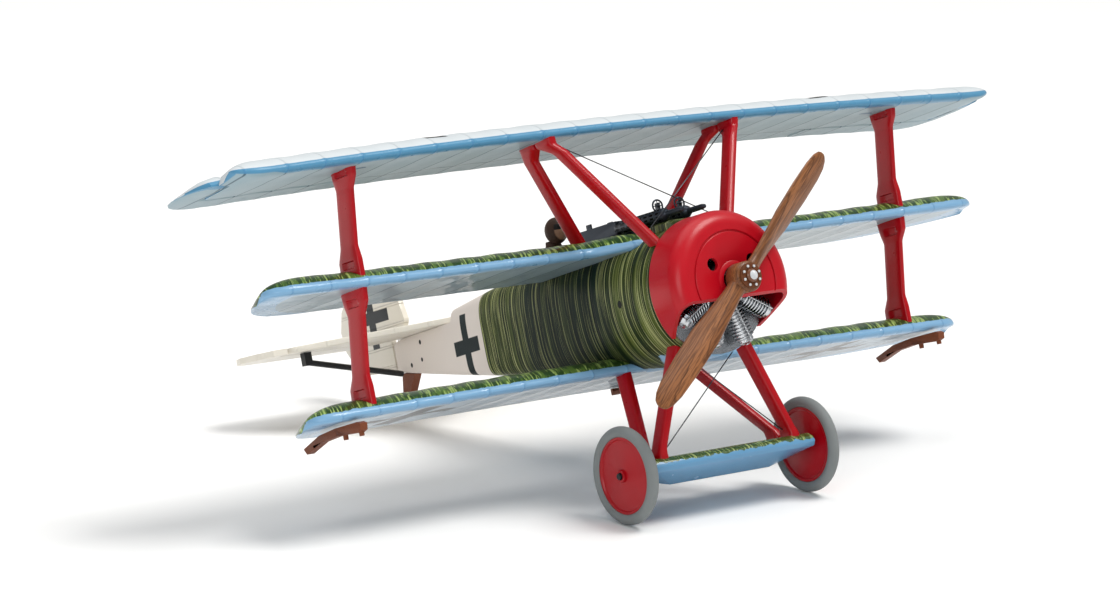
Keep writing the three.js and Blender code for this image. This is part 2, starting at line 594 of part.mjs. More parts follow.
add('tailplane', tailplane(), 'cream');
add('elevator', elevator(), 'cream');
add('rudder', rudder(), 'cream');
addPair('tail_strut', tailStrut(), 'black');
add('tail_skid', tailSkid(), 'brown');
addPair('wing_skid', wingSkid(), 'brown');
addPair('machine_gun', machineGun(), 'gunmetal');
add('boarding_step', boardingStep(), 'brown');

// Tip the aircraft nose-up and lift it, so that the tyres and the skid stand on the plane z = 0.
aircraft.rotation.x = -standAngle;
const floorHeight = -groundAt(0) * Math.cos(standAngle);
aircraft.position.set(0, 0, floorHeight);
aircraft.updateMatrixWorld(true);
const middle = new THREE.Box3().setFromObject(model).getCenter(v3(0, 0, 0));
aircraft.position.y = -middle.y;

export default model;
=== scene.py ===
import json
import bmesh
import bpy
import numpy as np
from mathutils import Euler, Matrix, Vector

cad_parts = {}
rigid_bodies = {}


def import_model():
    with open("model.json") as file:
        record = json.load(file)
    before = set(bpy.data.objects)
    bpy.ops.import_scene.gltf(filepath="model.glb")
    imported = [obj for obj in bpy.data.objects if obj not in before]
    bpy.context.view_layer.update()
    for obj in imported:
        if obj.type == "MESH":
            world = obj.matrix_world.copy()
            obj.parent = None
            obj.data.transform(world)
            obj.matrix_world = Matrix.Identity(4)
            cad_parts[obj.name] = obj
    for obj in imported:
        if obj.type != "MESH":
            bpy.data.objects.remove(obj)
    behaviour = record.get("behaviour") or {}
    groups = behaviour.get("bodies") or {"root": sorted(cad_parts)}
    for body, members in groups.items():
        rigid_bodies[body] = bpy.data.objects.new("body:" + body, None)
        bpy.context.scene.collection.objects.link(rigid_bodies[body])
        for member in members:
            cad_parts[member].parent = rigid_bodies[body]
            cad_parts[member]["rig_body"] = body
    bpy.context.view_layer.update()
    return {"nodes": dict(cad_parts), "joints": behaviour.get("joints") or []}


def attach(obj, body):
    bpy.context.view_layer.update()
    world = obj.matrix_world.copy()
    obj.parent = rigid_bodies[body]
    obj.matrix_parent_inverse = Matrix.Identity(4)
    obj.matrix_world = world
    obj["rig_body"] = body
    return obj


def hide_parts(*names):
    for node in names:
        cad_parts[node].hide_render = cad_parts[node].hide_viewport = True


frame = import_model()

# ---- Fuselage -----------------------------------------------------------------------------
# A steel-tube frame covered in linen: round behind the engine, slab-sided towards the stern.
# The forward part is streaked green, the rear is cream with a black cross on either side.
cockpit = dict(y=42.9, half_length=4.4, half_width=4.3, depth=9.5)
cream_from = 60.6      # y where the green streaks end
hull = np.array([  # y, half width, deck height, keel height, squareness above, squareness below
    (6.6, 10.4, 10.4, -10.4, 2, 2), (11, 10, 10.35, -10.5, 2.1, 2.05), (17, 9.2, 10.3, -10.5, 2.3, 2.1),
    (24, 8.5, 10.2, -10.2, 2.6, 2.3), (32, 7.9, 10.2, -9.4, 2.8, 2.7), (40, 7.1, 10.1, -8.2, 3, 3.4),
    (48, 6.2, 9.9, -6.9, 3, 4.4), (59, 4.8, 9.3, -5.1, 3.2, 6), (71.5, 3.3, 7.9, -3.1, 4, 8),
    (82, 2, 6.6, -1.4, 5, 8), (92.6, 0.7, 5.4, 0.35, 6, 8)])

# The model rests on its tyres and tail skid, nose up. Its own axes are x to port, y aft along
# the propeller shaft and z up, in millimetres, and they are found from two of its hinges.
joints = {joint["name"]: joint for joint in frame["joints"]}
nose = np.array(joints["propeller_spin"]["pos_m"])
aft = np.array(joints["propeller_spin"]["axis"])
up = np.array(joints["rudder_hinge"]["axis"])
tilt = np.arctan2(-aft[2], aft[1])


def stand(points):
    """Aircraft millimetres to metres on the table: nose + (x across + y aft + z up) / 1000."""
    p = np.asarray(points, float)
    return nose + (p[..., :1] * [1, 0, 0] + p[..., 1:2] * aft + p[..., 2:3] * up) * 0.001


def hull_rings(y, skin=88, well=24):
    """Superellipse rings at stations y. Where the cockpit oval opens the deck, the ring runs from
    one lip round the belly to the other and then down, across and up the inside of the well."""
    half, deck, keel, above, below = (np.interp(y, hull[:, 0], hull[:, i])[:, None] for i in range(1, 6))
    along = (y - cockpit["y"]) / cockpit["half_length"]
    opening = cockpit["half_width"] * np.sqrt(np.clip(1 - along**2, 0, None))[:, None]
    start = np.arccos(np.clip((opening / half)**(above / 2), 0, 1))
    turn = start + (-np.pi - 2 * start) * np.linspace(0, 1, skin)[None, :]
    power = np.where(np.sin(turn) > 0, 2 / above, 2 / below)
    x = half * np.sign(np.cos(turn)) * np.abs(np.cos(turn))**power
    mid, tall = (deck + keel) / 2, (deck - keel) / 2
    z = mid + tall * np.sign(np.sin(turn)) * np.abs(np.sin(turn))**power
    yy = y[:, None] + 0 * turn
    z = np.where((yy > 13) & (yy < 34.75), np.minimum(z, 8.4), z)
    z = np.where(yy > 70.95, np.minimum(z, 5.75), z)
    wall = np.linspace(0, 1, well)[None, :]
    drop = cockpit["depth"] * np.clip(opening / 1.5, 0, 1)
    inside = np.clip(opening - 0.25, 0, None)
    path = [-inside * np.ones_like(wall), -inside * (1 - 2 * wall), inside * np.ones_like(wall)]
    fall = [z[:, -1:] - drop * wall, z[:, -1:] - drop + 0 * wall, z[:, :1] - drop * (1 - wall)]
    x, z = np.concatenate([x, *path], 1), np.concatenate([z, *fall], 1)
    return np.stack([x, y[:, None] + 0 * x, z], -1)


def rings_to_mesh(rings, caps=True):
    """Points and faces of a tube: ring i joins ring i + 1 in quads, and both ends get a flat cap."""
    rows, across = rings.shape[:2]
    i, j = np.meshgrid(np.arange(rows - 1), np.arange(across), indexing="ij")
    k = (j + 1) % across
    quads = np.stack([i * across + j, (i + 1) * across + j, (i + 1) * across + k, i * across + k], -1)
    faces = quads.reshape(-1, 4).tolist()
    if caps:
        faces += [list(range(across)), list(range((rows - 1) * across, rows * across))]
    return rings.reshape(-1, 3), faces


def settle(name, mesh, body, nodes, material, sharp=40, merge=1e-6):
    """Merges coincident corners, makes the normals point out, shades smooth below the angle."""
    work = bmesh.new()
    work.from_mesh(mesh)
    bmesh.ops.remove_doubles(work, verts=work.verts, dist=merge)
    bmesh.ops.dissolve_degenerate(work, edges=work.edges, dist=1e-7)
    bmesh.ops.recalc_face_normals(work, faces=work.faces)
    work.to_mesh(mesh)
    work.free()
    mesh.polygons.foreach_set("use_smooth", np.ones(len(mesh.polygons), bool))
    mesh.set_sharp_from_angle(angle=np.radians(sharp))
    made = bpy.data.objects.new(name, mesh)
    bpy.context.scene.collection.objects.link(made)
    mesh.materials.clear()
    mesh.materials.append(material)
    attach(made, body)
    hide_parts(nodes)
    return made


def piece(name, points, faces, body, nodes, material, sharp=40, cloth=None):
    """A mesh from aircraft-millimetre points, turned to face outwards, riding and replacing."""
    mesh = bpy.data.meshes.new(name)
    mesh.from_pydata(stand(points).tolist(), [], [list(map(int, f)) for f in faces])
    if cloth is not None:
        mesh.attributes.new("cloth", "FLOAT_VECTOR", "POINT").data.foreach_set("vector", cloth.ravel())
    return settle(name, mesh, body, nodes, material, sharp)


class Wire:
    """A value on its way through a material's nodes; arithmetic on it adds Math nodes."""

    def __init__(self, tree, socket):
        self.tree, self.socket = tree, socket

    def node(self, kind, settings=None, out=0, **sockets):
        """Adds a node: its settings first, then values or wires for sockets named i0, i1, ..."""
        made = self.tree.nodes.new(kind)
        for key, value in (settings or {}).items():
            if key == "stops":
                ramp = made.color_ramp
                while len(ramp.elements) < len(value):
                    ramp.elements.new(0.5)
                for element, (at, colour) in zip(ramp.elements, value):
                    element.position, element.color = at, colour
            else:
                setattr(made, key, value)
        for key, value in sockets.items():
            socket = made.inputs[int(key[1:])]
            if isinstance(value, Wire):
                self.tree.links.new(value.socket, socket)
            else:
                socket.default_value = value
        return Wire(self.tree, made.outputs[out])

    def math(self, operation, a, b=0.0, c=0.0):
        return self.node("ShaderNodeMath", {"operation": operation}, i0=a, i1=b, i2=c)

    def __add__(self, other): return self.math("ADD", self, other)
    def __radd__(self, other): return self.math("ADD", other, self)
    def __sub__(self, other): return self.math("SUBTRACT", self, other)
    def __rsub__(self, other): return self.math("SUBTRACT", other, self)
    def __mul__(self, other): return self.math("MULTIPLY", self, other)
    def __rmul__(self, other): return self.math("MULTIPLY", other, self)
    def __truediv__(self, other): return self.math("DIVIDE", self, other)
    def __rtruediv__(self, other): return self.math("DIVIDE", other, self)
    def __abs__(self): return self.math("ABSOLUTE", self)

    def above(self, edge, soft=0.1):
        """0 below the edge, 1 above it, over a soft width."""
        return self.node("ShaderNodeMapRange", {"interpolation_type": "SMOOTHSTEP"},
                         i0=self, i1=edge - soft / 2, i2=edge + soft / 2)

    def below(self, edge, soft=0.1): return 1 - self.above(edge, soft)
    def inside(self, low, high, soft=0.1): return self.above(low, soft) * self.below(high, soft)
    def wave(self, pitch): return self.math("SINE", self * (2 * np.pi / pitch))
    def most(self, other): return self.math("MAXIMUM", self, other)
    def fract(self): return self.math("FRACT", self)

    def mix(self, a, b):
        """Colour a where this value is 0 and b where it is 1."""
        return self.node("ShaderNodeMix", {"data_type": "RGBA"}, 2, i0=self, i6=a, i7=b)


class Place:
    """Aircraft coordinates of a material, in millimetres: x to port, y aft, z up."""

    def __init__(self, tree, turn=(0.0, 0.0, 0.0)):
        start = Wire(tree, tree.nodes.new("ShaderNodeTexCoord").outputs["Object"])
        level = Matrix.Rotation(tilt, 3, "X")
        shift = level @ Vector(nose * -1000)
        self.p = start.node("ShaderNodeMapping", i0=start, i1=shift, i2=(tilt, 0, 0), i3=(1000,) * 3)
        if any(turn):
            self.p = start.node("ShaderNodeMapping", i0=self.p, i2=turn)
        split = tree.nodes.new("ShaderNodeSeparateXYZ")
        tree.links.new(self.p.socket, split.inputs[0])
        self.x, self.y, self.z = (Wire(tree, split.outputs[i]) for i in range(3))

    def own(self, name):
        """The three numbers of the piece's own attribute."""
        tree = self.p.tree
        read = tree.nodes.new("ShaderNodeAttribute")
        read.attribute_name = name
        split = tree.nodes.new("ShaderNodeSeparateXYZ")
        tree.links.new(read.outputs["Vector"], split.inputs[0])
        return [Wire(tree, split.outputs[i]) for i in range(3)]

    def noise(self, scale=(1, 1, 1), detail=3.0, rough=0.5, offset=(0, 0, 0)):
        """Fractal noise from 0 to 1, stretched by a scale along each axis, per millimetre."""
        where = self.p.node("ShaderNodeMapping", i0=self.p, i1=offset, i3=scale)
        return self.p.node("ShaderNodeTexNoise", i0=where, i2=1.0, i3=detail, i4=rough)


def rgb(code):
    """A display colour such as 0xB01020 as linear values for a shader."""
    c = np.array([code >> 16, code >> 8 & 255, code & 255]) / 255
    return (*np.where(c > 0.04045, ((c + 0.055) / 1.055) ** 2.4, c / 12.92), 1.0)


def coat(name, paint, turn=(0, 0, 0), **constants):
    """A painted finish. paint(place) gives colour, roughness and height in mm, each may be None."""
    material = bpy.data.materials.new(name)
    material.use_nodes = True
    tree = material.node_tree
    shader = tree.nodes["Principled BSDF"]
    shader.inputs["Specular IOR Level"].default_value = 0.22
    for key, value in constants.items():
        shader.inputs[key.replace("_", " ")].default_value = value
    colour, roughness, height = paint(Place(tree, turn))
    for socket, value in (("Base Color", colour), ("Roughness", roughness)):
        if isinstance(value, Wire):
            tree.links.new(value.socket, shader.inputs[socket])
        elif value is not None:
            shader.inputs[socket].default_value = value
    if height is not None:
        relief = tree.nodes.new("ShaderNodeBump")
        relief.inputs["Strength"].default_value = 1.0
        relief.inputs["Distance"].default_value = 0.001
        tree.links.new(height.socket, relief.inputs["Height"])
        tree.links.new(relief.outputs["Normal"], shader.inputs["Normal"])
    return material


def away(across, along):
    """Distance from an axis: the root of the sum of two squares."""
    squares = across * across + along * along
    return squares.math("SQRT", squares)


def hull_paint(at):
    """Upright streaks of green and straw in front over a pale blue belly, darkened in the middle by
    painted shade that stands for the wings' shadow, cream cloth behind with a black cross, and small
    holes where cables and tubes pass through, painted near black as the shade inside them."""
    y, z = at.y, at.z
    wide = at.noise((0.012, 0.5, 0.02), 3, 0.6)
    fine = at.noise((0.02, 1.9, 0.035), 4, 0.66, (0, 50, 0))
    thin = at.noise((0.02, 3.3, 0.04), 3, 0.6, (0, 90, 0))
    cloud = at.noise((0.05, 0.12, 0.05), 2, 0.5, (0, 9, 0))
    # Painted shadow: from y 24 to 54, under the wings, the cloth is darkened to a deep teal and its light
    # streaks are dimmed, standing for the wings' shadow.
    back = (y + cloud * 10).inside(24, 54, 9)
    base = back.mix(rgb(0x38441A), rgb(0x0A1F19))
    base = (wide.above(0.5, 0.12) * 0.7).mix(base, rgb(0x111D14))
    base = (wide.below(0.42, 0.1) * (0.7 - 0.5 * back)).mix(base, rgb(0x59632F))
    green = (fine.above(0.57, 0.05) * (0.7 - 0.5 * back)).mix(base, rgb(0x747B45))
    green = (thin.above(0.575, 0.04) * (0.95 - 0.5 * back)).mix(green, rgb(0xB2B57A))
    ragged = (at.noise((0.8, 0.8, 0.8), 4) - 0.5) * 1.6
    keel = -10.5 + (y - 17).most(0.0) * 0.128
    under_nose = (z + ragged + (y - 14).most(0.0) * 0.7).below(-8.7, 0.3)
    belly = (z - keel + ragged * 0.3).below(0.15, 0.2).most(under_nose)
    green = belly.mix(green, rgb(0x9CC3E2))
    cream = at.noise((0.1, 0.1, 0.1)).mix(rgb(0xDAD0C8), rgb(0xE4DBD2))
    colour = y.above(cream_from, 0.12).mix(green, cream)
    upright = abs(y - 66.5).below(1.05, 0.1) * abs(z - 1.1).below(5.3, 0.1)
    level = abs(z - 1.1).below(1.2, 0.1) * abs(y - 66.5).below(4.3, 0.1)
    colour = upright.most(level).mix(colour, rgb(0x202A2C))
    # Painted shade: each hole is a near-black disc that stands for the shade inside the opening.
    holes = (16.5, 0.2, 0.6), (82.8, 4.2, 0.4), (83.2, 1.3, 0.36), (87.3, 0.9, 0.4)
    for hole_y, hole_z, radius in holes:
        colour = away(y - hole_y, z - hole_z).below(radius, 0.12).mix(colour, rgb(0x0D0F10))
    seam = abs(y - 24.5).below(0.1, 0.08).most(abs(y - 12.4).below(0.1, 0.08))
    height = at.noise((7, 7, 7), 2) * 0.02 - seam * 0.1
    return colour, at.noise((0.4, 0.4, 0.4)) * 0.15 + 0.28, height


steps_in_deck = [12.9, 13.1, 34.6, 34.85, 70.8, 71.1]
round_well = cockpit["y"] + cockpit["half_length"] * np.cos(np.linspace(0, np.pi, 25))
hull_y = np.unique(np.concatenate([np.arange(6.6, 92.6, 0.9), [92.6], steps_in_deck, round_well]))
points, faces = rings_to_mesh(hull_rings(hull_y))
piece("fuselage_cloth", points, faces, "airframe", "fuselage",
      coat("fuselage_dope", hull_paint, Specular_IOR_Level=0.06), sharp=50)

# ---- Cockpit and pilot --------------------------------------------------------------------
# A padded leather ring is laced round the opening and a wooden seat stands in the well. The
# small painted figure in it wears a brown coat and helmet. A cloth hump covers the shells.


def finished(node, material, sharp=35, bevel=0.0, segments=2):
    """A cast piece: the node's own shape with its corners joined and its edges broken."""
    mesh = frame["nodes"][node].data.copy()
    body = frame["nodes"][node]["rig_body"]
    made = settle(node + "_finished", mesh, body, node, material, sharp, 2e-6)
    if bevel:
        edge = made.modifiers.new("edge", "BEVEL")
        edge.width, edge.segments, edge.limit_method = bevel * 0.001, segments, "ANGLE"
        edge.angle_limit, edge.harden_normals = np.radians(32), True
    return made


def plain(code, second, low, spread, grain=0.02):
    """An even finish: colour drifts from code to second, roughness from low to low + spread."""
    def paint(at):
        tone = at.noise((0.35, 0.35, 0.35), 4).mix(rgb(code), rgb(second))
        return tone, at.noise((0.6, 0.6, 0.6), 3) * spread + low, at.noise((6, 6, 6), 3) * grain
    return paint


leather = coat("coaming_leather", plain(0x4A2E1E, 0x5C3B27, 0.42, 0.2, 0.12))
turn = np.linspace(0, 2 * np.pi, 97)[:-1]
section = np.linspace(0, 2 * np.pi, 13)[:-1]
rim_y = cockpit["y"] + 4.55 * np.sin(turn)
rim_x = 4.45 * np.cos(turn)
rim_z = np.interp(rim_y, hull[:, 0], hull[:, 2]) - 0.5 * (rim_x / 4.45)**2 + 0.15
centre = np.stack([rim_x, rim_y, rim_z], -1)
outward = np.stack([np.cos(turn), np.sin(turn), 0 * turn], -1)
rings = (centre[:, None] + 0.5 * (np.cos(section)[None, :, None] * outward[:, None]
         + np.sin(section)[None, :, None] * np.array([0, 0, 1])))
rings = np.concatenate([rings, rings[:1]])
points, faces = rings_to_mesh(rings, caps=False)
piece("cockpit_rim", points, faces, "airframe", "cockpit_coaming", leather)
seat_wood = coat("seat_wood", plain(0x5B3A24, 0x6E482E, 0.45, 0.15, 0.05))
finished("pilot_seat", seat_wood, bevel=0.15)


def figure_paint(at):
    """A brown flying coat and helmet, pink face, dark goggle rims."""
    y, z, x = at.y, at.z, at.x
    face = y.below(40.3, 0.3) * z.inside(13.7, 15.5, 0.2) * abs(x).below(1.35, 0.2)
    goggles = y.below(40.3, 0.3) * z.inside(15.35, 16.25, 0.1) * abs(abs(x) - 0.8).below(0.62, 0.12)
    colour = goggles.mix(face.mix(rgb(0x3B281E), rgb(0x94705A)), rgb(0x120F0E))
    return colour, at.noise((1, 1, 1)) * 0.2 + 0.5, at.noise((3, 3, 3), 3) * 0.08


cloth_brown = coat("flying_coat", figure_paint)


def blob(centre, radii, bumps, rows=40, columns=56):
    """An ellipsoid grid pushed along its radius by soft bumps (direction, height, width)."""
    v = np.linspace(0, np.pi, rows)[:, None]
    u = np.linspace(0, 2 * np.pi, columns + 1)[None, :-1]
    way = np.stack([np.sin(v) * np.cos(u), np.sin(v) * np.sin(u), np.cos(v) + 0 * u], -1)
    swell = np.ones(way.shape[:2])
    for direction, height, width in bumps:
        d = np.array(direction) / np.linalg.norm(direction)
        swell = swell + height * np.exp(-((1 - way @ d) / width))
    return np.array(centre) + way * np.array(radii) * swell[..., None]


nose_chin_lips = [((0, -1, -0.12), 0.13, 0.010), ((0, -1, -0.62), 0.07, 0.03), ((0, -1, -0.40), 0.035, 0.004)]
brow_eye_ear = [((0.42, -1, 0.28), 0.05, 0.02), ((0.34, -1, 0.08), -0.05, 0.012), ((1, 0, -0.1), 0.05, 0.03)]
other_side = [((-x, y, z), height, width) for (x, y, z), height, width in brow_eye_ear]
face_bumps = nose_chin_lips + brow_eye_ear + other_side
points, faces = rings_to_mesh(blob((0, 41.6, 15.35), (1.75, 2.05, 2.15), face_bumps), caps=False)
piece("pilot_head_figure", points, faces, "airframe", "pilot_head", cloth_brown, sharp=80)
body_z = np.array([-1, 1, 4, 7, 9, 10.3, 11.3, 12.1, 12.7, 13.2, 13.9])
body_x = np.array([2.2, 2.4, 2.6, 2.9, 3.2, 3.3, 3.1, 2.4, 1.7, 1.35, 1.2])
body_y = np.array([2, 2, 2, 2, 1.95, 1.9, 1.8, 1.5, 1.25, 1.15, 1.1])
u = np.linspace(0, 2 * np.pi, 41)[:-1]
fold = 1 + 0.02 * np.sin(5 * u[None, :] + body_z[:, None])
rings = np.stack([body_x[:, None] * np.cos(u) * fold, 43 + body_y[:, None] * np.sin(u) * fold,
                  body_z[:, None] + 0 * u], -1)
points, faces = rings_to_mesh(rings)
piece("pilot_coat", points, faces, "airframe", "pilot_body", cloth_brown, sharp=80)
finished("ammunition_hump", coat("hump_dope", hull_paint), bevel=0.3, segments=3)

# ---- Rotary engine ------------------------------------------------------------------------
# Nine bright finned steel cylinders are bolted round a crankcase, each with its push rod in
# front. Only the lowest ones show, in the open chin; a grey metal firewall closes the bay.


def lathe(profile, sides, axis="y", at=(0, 0, 0)):
    """A profile of (radius, position) points carried round an axis in equal turns."""
    p = np.array(profile, float)
    turn = np.linspace(0, 2 * np.pi, sides + 1)[:, None] + np.pi / sides
    r, along = p[None, :, 0], p[None, :, 1] + 0 * turn
    a, b = r * np.cos(turn), r * np.sin(turn)
    order = {"y": (a, along, b), "x": (along, a, b), "z": (a, b, along)}[axis]
    return np.stack(order, -1) + np.array(at)


chrome = coat("cylinder_chrome", plain(0xD9DBDD, 0xB9BDC2, 0.08, 0.16, 0.03), Metallic=1.0)
steel = coat("crankcase_steel", plain(0x9A9EA3, 0x7E8287, 0.22, 0.2, 0.04), Metallic=1.0)
fin = [(1.05, 0), (1.05, 0.2), (1.56, 0.26), (1.56, 0.42), (1.05, 0.48)]
fins = [(r, 4.3 + i * 0.52 + d) for i in range(9) for r, d in fin]
head = [(1.2, 9.05), (1.25, 9.5), (0.9, 9.85), (0.35, 9.9), (0.35, 10.1), (0, 10.1)]
barrel = [(0, 3.7), (1.15, 3.7), (1.15, 4.1), *fins, *head]
for i in range(9):
    angle = i / 9 * 2 * np.pi
    ring = lathe(barrel, 30, "z")
    rod_ring = lathe([(0, 3.4), (0.16, 3.4), (0.16, 9.6), (0, 9.6)], 10, "z", (0, -1.35, 0))
    points, faces = rings_to_mesh(ring, caps=False)
    rod_points, rod_faces = rings_to_mesh(rod_ring, caps=False)
    faces = faces + [[k + len(points) for k in f] for f in rod_faces]
    points = np.concatenate([points, rod_points])
    x, y, z = points.T
    points = np.stack([x * np.cos(angle) + z * np.sin(angle), y + 3.7,
                       z * np.cos(angle) - x * np.sin(angle)], -1)
    node = "cylinder_%d" % (i + 1)
    piece(node + "_barrel", points, faces, "airframe", node, chrome)
finished("crankcase", steel, bevel=0.12)
firewall_plate = coat("firewall_plate", plain(0xB4B8BC, 0x8F9398, 0.16, 0.2, 0.05), Metallic=1.0)
finished("firewall", firewall_plate)

# ---- Engine cowling -----------------------------------------------------------------------
# A spun aluminium drum painted red: rolled rim, pressed ring in the face, two cooling holes
# beside the shaft and an open chin below a slanted cut.


def turned(name, profile, sides, axis, at, body, nodes, material, sharp=35):
    """A lathe shape as a finished piece."""
    points, faces = rings_to_mesh(lathe(profile, sides, axis, at), caps=False)
    return piece(name, points, faces, body, nodes, material, sharp)


def carve(made, cutters):
    """Subtracts closed meshes of aircraft-millimetre points and keeps the result as plain mesh."""
    tools = []
    for points, faces in cutters:
        mesh = bpy.data.meshes.new("tool")
        mesh.from_pydata(stand(points).tolist(), [], faces)
        tool = bpy.data.objects.new("tool", mesh)
        bpy.context.scene.collection.objects.link(tool)
        work = bmesh.new()
        work.from_mesh(mesh)
        bmesh.ops.remove_doubles(work, verts=work.verts, dist=1e-7)
        bmesh.ops.recalc_face_normals(work, faces=work.faces)
        work.to_mesh(mesh)
        work.free()
        step = made.modifiers.new("cut", "BOOLEAN")
        step.operation, step.solver, step.object = "DIFFERENCE", "EXACT", tool
        tools.append(tool)
    graph = bpy.context.evaluated_depsgraph_get()
    solid = bpy.data.meshes.new_from_object(made.evaluated_get(graph))
    made.modifiers.clear()
    made.data = solid
    for tool in tools:
        bpy.data.objects.remove(tool)
    return made


arc = np.linspace(0, np.pi / 2, 14)
outer = [(8.6 + 2.4 * np.sin(a), 1.76 - 2.4 * np.cos(a)) for a in arc]
inner = [(8.6 + 1.8 * np.sin(a), 1.76 - 1.8 * np.cos(a)) for a in arc[::-1]]
collar = [(2.2, -0.04), (2.2, -0.64), (2.9, -0.64), (3.0, -0.58), (3.1, -0.64), (7.3, -0.64)]
groove = [(7.38, -0.58), (7.42, -0.42), (7.62, -0.42), (7.66, -0.58), (7.74, -0.64)]
skirt = [(11, 2.5), (11, 5.9), (10.96, 6.3), (10.4, 6.3)]
profile = [*collar, *groove, *outer, *skirt, *inner, collar[0]]
red_cowl = coat("cowl_red", plain(0xB8041A, 0xA80214, 0.30, 0.12, 0.02), Coat_Weight=0.22,
                Coat_Roughness=0.22)
cowling = turned("cowling_drum", profile, 144, "y", (0, 0, 0), "airframe", "engine_cowling",
                 red_cowl)
slope = 0.66
chin_line = [(-3, -2.3 - slope * (-3 + 0.64)), (9, -2.3 - slope * 9.64), (9, -20), (-3, -20)]
chin = np.array([(x, y, z) for x in (-20, 20) for y, z in chin_line], float)
block = (chin, [[0, 1, 2, 3], [4, 7, 6, 5], [0, 4, 5, 1], [1, 5, 6, 2], [2, 6, 7, 3], [3, 7, 4, 0]])
drill = [(0, -3), (0.98, -3), (0.98, 3), (0, 3)]
drills = [rings_to_mesh(lathe(drill, 36, "y", (x, 0, 2.76)), caps=False) for x in (-3.76, 3.76)]
carve(cowling, [block] + drills)
cowling.data.set_sharp_from_angle(angle=np.radians(35))

# ---- Propeller ----------------------------------------------------------------------------
# Two blades are carved from one block of glued walnut boards and varnished. A brown hub plate
# with bright bolt heads and a bright domed nut clamp it to the shaft, and it turns with them.
blade_angle = np.radians(90 - 40.5)
blade_tip = 26.2
blade = np.array([  # radius, chord, thickness, pitch in degrees
    (0, 3.1, 2.7, 66), (1, 3.1, 2.6, 60), (3.6, 2.9, 2, 48), (7, 3.5, 1.6, 37), (12, 4.4, 1.2, 28),
    (18, 4.3, 0.9, 21), (22.6, 3.9, 0.7, 18), (24.6, 3.2, 0.58, 16), (25.7, 2.2, 0.46, 16),
    (26.1, 1.2, 0.36, 16), (blade_tip, 0.3, 0.3, 16)])


def blade_rings(sign):
    """Twisted rings up the blade: an ellipse flattened behind, turned by the pitch at its radius."""
    tip = 22 + (blade_tip - 22) * np.sin(np.linspace(0, np.pi / 2, 24))
    radius = np.concatenate([np.linspace(0, 22, 60), tip[1:]])
    length, thick, pitch = (np.interp(radius, blade[:, 0], blade[:, i])[:, None] for i in (1, 2, 3))
    turn = np.linspace(0, 2 * np.pi, 37)[None, :-1]
    along = length / 2 * np.cos(turn)
    across = thick / 2 * np.sin(turn) * np.where(np.sin(turn) > 0, 0.75, 1.1)
    lean = np.radians(pitch)
    x = -along * np.cos(lean) - across * np.sin(lean)
    y = -2.5 - along * np.sin(lean) + across * np.cos(lean)
    z = radius[:, None] + 0 * x
    return np.stack([x * sign, y, z * sign], -1)


def spun(points):
    """Points turned about the shaft by the blade angle."""
    x, y, z = np.moveaxis(np.asarray(points, float), -1, 0)
    return np.stack([x * np.cos(blade_angle) + z * np.sin(blade_angle), y,
                     z * np.cos(blade_angle) - x * np.sin(blade_angle)], -1)


def walnut(at):
    """Glued boards stacked along the shaft, each its own brown, with grain along the blade."""
    board = at.y / 0.42 + at.noise((0.05, 0.3, 0.3), 2) * 0.7
    layer = board.math("FLOOR", board)
    tone = layer.node("ShaderNodeTexWhiteNoise", {"noise_dimensions": "1D"}, 0, i1=layer)
    grain = at.noise((5.5, 5.5, 0.12), 4, 0.6)
    colour = tone.mix(rgb(0x6A3F22), rgb(0x94603A))
    colour = (grain.above(0.52, 0.12) * 0.55).mix(colour, rgb(0x361B0D))
    glue = abs((board - layer) - 0.5).above(0.44, 0.05)
    return (glue * 0.5).mix(colour, rgb(0x2B150A)), grain * 0.12 + 0.3, grain * 0.05


wood = coat("laminated_walnut", walnut, turn=(0, -blade_angle, 0), Coat_Weight=0.15, Coat_Roughness=0.2)
parts = [rings_to_mesh(spun(blade_rings(s))) for s in (1, -1)]
boss = [(0.95, -1), (2.1, -1), (2.35, -1.25), (2.35, -3.9), (2.1, -4.15), (0.95, -4.15), (0.95, -1)]
parts.append(rings_to_mesh(lathe(boss, 48), caps=False))
points, faces = [], []
for p, f in parts:
    faces += [[k + sum(map(len, points)) for k in face] for face in f]
    points.append(p)
piece("propeller_blades", np.concatenate(points), faces, "propeller", "propeller",
      wood, sharp=50)
bright = coat("hub_steel", plain(0xB4B7BA, 0x9DA0A4, 0.2, 0.15, 0.02), Metallic=1.0)


def hub_paint(at):
    """Brown plate with bright bolt heads: whatever stands proud of its front face."""
    head = at.y.below(-4.62, 0.03)
    brown_plate = at.noise((0.8, 0.8, 0.8), 3).mix(rgb(0x55301C), rgb(0x6B3F25))
    colour = head.mix(brown_plate, rgb(0xC4C7CA))
    return colour, at.noise((1, 1, 1)) * 0.15 + 0.25, at.noise((6, 6, 6)) * 0.02


finished("hub_plate", coat("hub_brown", hub_paint), bevel=0.06)


def nut_paint(at):
    """A bright dome on a brown washer, told apart by the distance from the shaft."""
    colour = away(at.x, at.z).below(0.72, 0.05).mix(rgb(0x6B3F25), rgb(0xC4C7CA))
    return colour, at.noise((1, 1, 1)) * 0.15 + 0.25, at.noise((6, 6, 6)) * 0.02


finished("propeller_nut", coat("nut_finish", nut_paint, Coat_Weight=0.4), sharp=30)
finished("propeller_shaft", bright)

# ---- Wings --------------------------------------------------------------------------------
# Three thick wings of doped linen over wooden ribs, 6.5 mm apart. The cloth sags between the
# ribs, the rear edge is pulled into scallops, and narrow tapes ring the nose at each rib.
chord = 20.8
rib_pitch = 6.5
thickness = 0.15       # of the chord
wings = {
    "top_wing": dict(leading=13.5, base=25.9, bow=-0.9, straight=66, half=72.8, taper=75, fairing=0,
                     lift=0.05),
    "middle_wing": dict(leading=18, base=7.5, bow=0.25, straight=53, half=68.4, taper=68.4, fairing=5.3),
    "lower_wing": dict(leading=21.3, base=-10.55, bow=-0.5, straight=47, half=62.8, taper=62.8, fairing=0),
}


